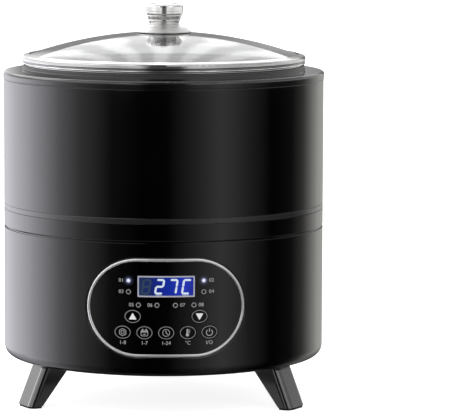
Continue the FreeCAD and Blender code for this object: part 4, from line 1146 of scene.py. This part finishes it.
@dataclass
class Display:
    """Four slanted seven-segment figures on the display's face."""

    face_y: float = -119.02 * MM
    film: float = 0.05 * MM
    middle_z: float = 102.3 * MM
    wide: float = 5.2 * MM
    tall: float = 10.2 * MM
    stroke: float = 1.55 * MM
    gap: float = 0.22 * MM
    tip_share: float = 0.35
    corner_share: float = 0.42
    slant: float = math.radians(9.0)
    places: tuple[float, ...] = (-14.8, -4.8, 5.2, 15.2)
    shown: str = "827C"
    strokes: dict[str, str] = field(default_factory=lambda: {"8": "abcdefg", "2": "abged", "7": "abc", "C": "afed"})

    def build(self) -> None:
        """Makes the lit figures as one piece and the faint first one as another."""
        faint = self.figure(self.shown[0], self.places[0])
        lit = [bar for sign, x in zip(self.shown[1:], self.places[1:]) for bar in self.figure(sign, x)]
        for name, bars, finish in (("display_faint", faint, FAINT_SEGMENT), ("display_figures", lit, LIT_SEGMENT)):
            piece = BENCH.stand(BENCH.join(bars, name), self.face_y, self.film)
            mount(piece, "housing", finish)

    def figure(self, sign: str, middle: float) -> list[Piece]:
        """The lit strokes of one figure.

        Args:
            sign: The figure shown.
            middle: Its middle across, in millimetres.

        Returns:
            One flat bar per stroke.
        """
        half_w, half_t = self.wide / 2, self.tall / 2
        level = {"a": half_t, "g": 0.0, "d": -half_t}
        upright = {"b": (half_w, 0.5), "c": (half_w, -0.5), "e": (-half_w, -0.5), "f": (-half_w, 0.5)}
        bars = []
        for stroke in self.strokes[sign]:
            flat = stroke in level
            across, up = (0.0, level[stroke]) if flat else (upright[stroke][0], upright[stroke][1] * half_t)
            length = (self.wide if flat else half_t) - 2 * self.gap + self.tip_share * self.stroke
            size = (length, self.stroke) if flat else (self.stroke, length)
            x = middle * MM + across + up * math.tan(self.slant)
            turn = 0.0 if flat else self.slant
            bars.append(BENCH.bar(x, self.middle_z + up, *size, turn, self.corner_share * self.stroke, 1))
        return bars


@dataclass(frozen=True)
class TentRing:
    """One height of the light tent: how bright it is at each bearing from the front.

    The start is the span of the ray's upward part over which the ring takes over from the one below.
    """

    starts: Span
    levels: Levels
    tinted: bool = False


@dataclass(frozen=True)
class MirrorCard:
    """A studio card that only polished surfaces see: a band round the lid, or a ring on the floor.

    A ring on the floor carries the wall's light on: what the lower edge of a body of the inner radius
    mirrors there is as bright as what the wall above it mirrors.
    """

    name: str
    radius: float
    low: float
    levels: Levels
    tall: float = 0.0
    inner: float = 0.0


@dataclass(frozen=True)
class SoftLamp:
    """A square soft lamp: where it hangs, its side in metres and its power in watts."""

    name: str
    place: tuple[float, float, float]
    size: float
    power: float


WALL_LIGHT: Levels = (
    (-180, 0.4), (-168, 0.95), (-155, 1.55), (-144, 2.0), (-128, 2.4), (-114, 2.45), (-96, 1.75), (-81, 0.9),
    (-63, 0.34), (-39, 0.04), (-17, 0.0), (2, 0.005), (19, 0.13), (41, 0.38), (64, 0.12), (82, 0.0),
    (104, 0.03), (118, 0.2), (133, 0.75), (146, 0.95), (158, 0.7), (180, 0.4),
)


@dataclass
class Studio:
    """White surroundings, soft tent light, floor and the camera at the viewing angle."""

    image_wide: int = 449
    focal_pixels: float = 3230.0
    sensor: float = 36.0
    distance: float = 2.514
    bearing: float = -0.9
    eye_height: float = 0.4355
    pitch: float = 6.514
    yaw: float = 1.085
    roll: float = 0.208
    floor_radius: float = 7.0
    floor_tone: float = 0.80
    floor_drift: Span = (1.0, 1.0375)
    floor_cloud: float = 0.4
    floor_glow: float = 0.85
    stage_sides: int = 96
    tent_gain: float = 7.0
    cool: Colour = (1.0, 0.99, 1.06)
    cool_from: float = -75.0
    warm: Colour = (1.005, 1.0, 0.955)
    warm_from: float = 110.0
    ribs: float = 9.0
    rib_edges: Span = (-0.6, 0.2)
    rib_shade: Span = (0.55, 1.0)
    folds: float = 84.0
    fold_edges: Span = (-0.7, 0.7)
    fold_shade: Span = (0.66, 1.15)
    fold_sway: float = 5.0
    fold_wave: float = 0.25
    folds_from: Span = (math.radians(150), math.radians(160))
    behind: Span = (math.radians(80), math.radians(81))
    horizon: float = 0.02
    glass_haze: Levels = ((0.485, 1.0), (0.515, 0.28), (0.60, 0.28), (0.68, 1.0))
    rings: tuple[TentRing, ...] = (
        TentRing((-1.0, -1.0), ((-180, 0.05), (-110, 0.1), (-65, 0.2), (65, 0.15), (110, 0.05), (180, 0.05))),
        TentRing((-0.42, -0.28), WALL_LIGHT, True),
        TentRing((0.03, 0.09), (
            (-180, 0.3), (-168, 0.3), (-140, 1.0), (-110, 1.6), (-60, 1.0), (-17, 0.9), (-12, 0.02), (12, 0.02),
            (17, 0.7), (70, 0.7), (140, 0.8), (168, 0.3), (180, 0.3),
        )),
        TentRing((0.20, 0.26), (
            (-180, 2.3), (-150, 2.4), (-132, 3.6), (-108, 3.6), (-80, 1.8), (-30, 1.6), (-24, 0.02), (16, 0.02),
            (22, 1.8), (45, 1.6), (70, 0.9), (112, 0.5), (128, 0.5), (150, 1.6), (180, 2.3),
        )),
        TentRing((0.72, 0.80), (
            (-180, 0.9), (-90, 1.0), (-22, 0.9), (-12, 0.3), (12, 0.3), (22, 0.85), (90, 0.9), (180, 0.9),
        )),
    )
    roof: int = 3
    # Painted shade on the foot card, from its inner to its outer edge, for the object's shadow on the floor
    foot_shade: Span = (0.3, 1.1)
    cards: tuple[MirrorCard, ...] = (
        MirrorCard("lid_card", 0.35, 0.244, (
            (-180, 0.3), (-160, 0.3), (-156, 1.3), (-95, 0.95), (-60, 1.25), (-34, 0.8), (-17, 1.05), (-11, 0.1),
            (11, 0.1), (17, 0.95), (48, 0.7), (80, 0.95), (136, 1.0), (142, 0.22), (150, 0.22), (160, 0.5),
            (170, 0.3), (180, 0.3),
        ), tall=0.123),
        MirrorCard("foot_card", 0.26, 0.0004, WALL_LIGHT, inner=0.122),
    )
    lamps: tuple[SoftLamp, ...] = (
        SoftLamp("front_fill", (-0.2, -2.3, 1.7), 1.6, 12.0), SoftLamp("top_soft", (0.1, -0.2, 2.2), 1.4, 12.0),
    )
    lamp_aim: tuple[float, float, float] = (0.0, 0.0, 0.15)

    def build(self) -> None:
        """Sets world, floor, cards, lamps, camera and view transform."""
        self.set_world()
        self.lay_floor()
        for card in self.cards:
            self.set_card(card)
        for lamp in self.lamps:
            self.hang_lamp(lamp)
        self.set_camera()
        bpy.context.scene.view_settings.view_transform = "Standard"

    def set_world(self) -> None:
        """White for the camera; a tent of soft light in rings, under a ribbed roof, for the rest."""
        world = bpy.data.worlds.new("studio_tent")
        bpy.context.scene.world = world
        world.use_nodes = True
        sheet = NodeSheet(world.node_tree)
        outwards = sheet.node("TexCoord").outputs["Generated"]
        z = sheet.split(outwards)[2]
        bearing = self.bearing_of(sheet, outwards)
        lowest, *higher = self.rings
        tent = self.light_ramp(sheet, bearing, lowest.levels, lowest.tinted)
        for ring in higher:
            share = sheet.spread(z, ring.starts)
            tent = sheet.mix(share, tent, self.light_ramp(sheet, bearing, ring.levels, ring.tinted))
        under_roof = sheet.spread(z, self.rings[self.roof].starts)
        tent = sheet.mix(under_roof, tent, sheet.scaled(tent, self.pleats(sheet, outwards, bearing)))
        path = sheet.node("LightPath").outputs
        height = sheet.spread(z, (-1.0, 1.0))
        through = sheet.ramp(height, [(at, grey(level)) for at, level in self.glass_haze])
        behind = sheet.spread(sheet.sum("ABSOLUTE", bearing), self.behind)
        open_sky = sheet.sum("MAXIMUM", behind, sheet.sum("GREATER_THAN", z, self.horizon))
        through_glass = sheet.sum("MULTIPLY", path["Is Transmission Ray"], open_sky)
        colour = sheet.mix(through_glass, tent, through)
        colour = sheet.mix(path["Is Camera Ray"], colour, shade(WHITE))
        seen = sheet.sum("MAXIMUM", path["Is Camera Ray"], through_glass)
        ground = world.node_tree.nodes["Background"]
        sheet.feed(ground.inputs["Color"], colour)
        sheet.feed(ground.inputs["Strength"], sheet.spread(seen, (0.0, 1.0), (self.tent_gain, 1.0)))

    @staticmethod
    def bearing_of(sheet: NodeSheet, vector: Socket) -> Socket:
        """A vector's bearing round the upright axis, in radians from the front."""
        x, y, _ = sheet.split(vector)
        return sheet.sum("ARCTAN2", x, sheet.sum("MULTIPLY", y, -1.0))

    def pleats(self, sheet: NodeSheet, outwards: Socket, bearing: Socket) -> Socket:
        """Shade of the roof cloth: wide ribs all round, and narrow swaying folds at the back.

        Args:
            sheet: The world's node tree.
            outwards: The ray's direction.
            bearing: Its bearing.

        Returns:
            The share of light that is left.
        """
        rib_turns = sheet.sum("MULTIPLY", bearing, self.ribs)
        ribs = sheet.spread(sheet.sum("SINE", rib_turns), self.rib_edges, self.rib_shade)
        sway = sheet.sum("MULTIPLY", sheet.noise(self.fold_wave, 1.0, outwards), self.fold_sway)
        turns = sheet.sum("ADD", sheet.sum("MULTIPLY", bearing, self.folds), sway)
        folds = sheet.spread(sheet.sum("SINE", turns), self.fold_edges, self.fold_shade)
        at_back = sheet.spread(sheet.sum("ABSOLUTE", bearing), self.folds_from)
        return sheet.mix(at_back, ribs, folds)

    def light_ramp(self, sheet: NodeSheet, bearing: Socket, levels: Levels, tinted: bool) -> Socket:
        """Brightness by bearing, as a share of the tent's gain.

        Args:
            sheet: The node tree.
            bearing: Bearing from the front, in radians.
            levels: Bearings in degrees with their brightness.
            tinted: Whether the cloth has its tint.

        Returns:
            The colour's output.
        """
        share = sheet.spread(bearing, (-math.pi, math.pi))
        stops = []
        for at, level in levels:
            cloth = self.tint(at) if tinted else WHITE
            stops.append(((at + 180) / 360, shade(cloth, level / self.tent_gain)))
        return sheet.ramp(share, stops)

    def tint(self, bearing: float) -> Colour:
        """Colour of the tent's cloth by bearing: a little cool at the left and warm at the far right."""
        left = self.cool if bearing < self.cool_from else WHITE
        return self.warm if bearing > self.warm_from else left

    def lay_floor(self) -> None:
        """A pale floor that keeps the shadow and reads as white where it is lit."""
        BENCH.clear()
        bpy.ops.mesh.primitive_circle_add(vertices=self.stage_sides, radius=self.floor_radius, fill_type="NGON")
        floor = bpy.context.object
        floor.name = "floor"
        floor.visible_glossy = floor.visible_transmission = False
        surface, sheet = new_material("pale_floor")
        seen = sheet.node("LightPath").outputs["Is Camera Ray"]
        clouds = sheet.noise(self.floor_cloud)
        sheet.shader_values(
            Base_Color=sheet.tones(clouds, grey(self.floor_tone), self.floor_drift, NEARLY_ALL),
            Roughness=0.9,
            Specular_IOR_Level=0.1,
            Emission_Color=shade(WHITE),
            Emission_Strength=sheet.sum("MULTIPLY", seen, self.floor_glow),
        )
        floor.data.materials.append(surface)

    def set_card(self, card: MirrorCard) -> None:
        """Sets up one card; it glows by bearing, lights nothing and shows only in polished surfaces.

        Args:
            card: The card.
        """
        BENCH.clear()
        if card.tall > 0.0:
            bpy.ops.mesh.primitive_cylinder_add(
                vertices=self.stage_sides, radius=card.radius, depth=card.tall, end_fill_type="NOTHING",
                location=(0.0, 0.0, card.low + card.tall / 2))
        else:
            bpy.ops.mesh.primitive_circle_add(
                vertices=self.stage_sides, radius=card.radius, fill_type="NGON", location=(0.0, 0.0, card.low))
            BENCH.hollow(bpy.context.object, card.radius - card.inner)
        piece = bpy.context.object
        piece.name = card.name
        for kind in ("camera", "diffuse", "transmission", "shadow"):
            setattr(piece, f"visible_{kind}", False)
        surface, sheet = new_material(card.name)
        bearing, strength = self.bearing_of(sheet, sheet.place()), self.tent_gain
        if card.inner > 0.0:
            radius = sheet.split(sheet.turned_place())[0]
            spread_out = sheet.sum("SUBTRACT", 1.0, sheet.sum("DIVIDE", card.inner / 2, radius))
            bearing = sheet.sum("DIVIDE", bearing, spread_out)
            # Painted shade: the card's glow dims towards its inner edge, standing in for the object's shadow on the
            # floor round its foot
            near, far = self.foot_shade
            strength = sheet.spread(radius, (card.inner, card.radius), (near * strength, far * strength))
        sheet.shader_values(
            Base_Color=shade(BLACK),
            Specular_IOR_Level=0.0,
            Emission_Color=self.light_ramp(sheet, bearing, card.levels, card.inner > 0.0),
            Emission_Strength=strength,
        )
        piece.data.materials.append(surface)

    def hang_lamp(self, lamp: SoftLamp) -> None:
        """Hangs a soft lamp that faces the object and isn't mirrored in it.

        Args:
            lamp: The lamp.
        """
        BENCH.clear()
        bpy.ops.object.light_add(type="AREA", location=lamp.place)
        hung = bpy.context.object
        hung.name = lamp.name
        hung.data.size = lamp.size
        hung.data.energy = lamp.power
        aim = Vector(self.lamp_aim) - Vector(lamp.place)
        hung.rotation_euler = aim.to_track_quat("-Z", "Y").to_euler()
        hung.visible_glossy = hung.visible_camera = False

    def set_camera(self) -> None:
        """Puts the camera at the viewing angle."""
        BENCH.clear()
        around = math.radians(self.bearing)
        place = (self.distance * math.sin(around), -self.distance * math.cos(around), self.eye_height)
        bpy.ops.object.camera_add(location=place)
        camera = bpy.context.object
        camera.name = "camera"
        camera.data.sensor_width = self.sensor
        camera.data.lens = self.focal_pixels * self.sensor / self.image_wide
        heading = Matrix.Rotation(around - math.radians(self.yaw), 4, "Z")
        tilt = Matrix.Rotation(math.radians(90 - self.pitch), 4, "X")
        lean = Matrix.Rotation(math.radians(self.roll), 4, "Z")
        camera.rotation_euler = (heading @ tilt @ lean).to_euler()
        bpy.context.scene.camera = camera


def main() -> None:
    """Builds the studio and dresses each sub-assembly in turn."""
    logging.basicConfig(level=logging.INFO, format="%(name)s: %(message)s")
    BENCH.clear()
    Studio().build()
    for part in (Lid(), Pot(), Body(), Works(), ControlPanel()):
        part.build()
        log.info("built %s", type(part).__name__)
    BENCH.clear()


if __name__ == "__main__":
    main()
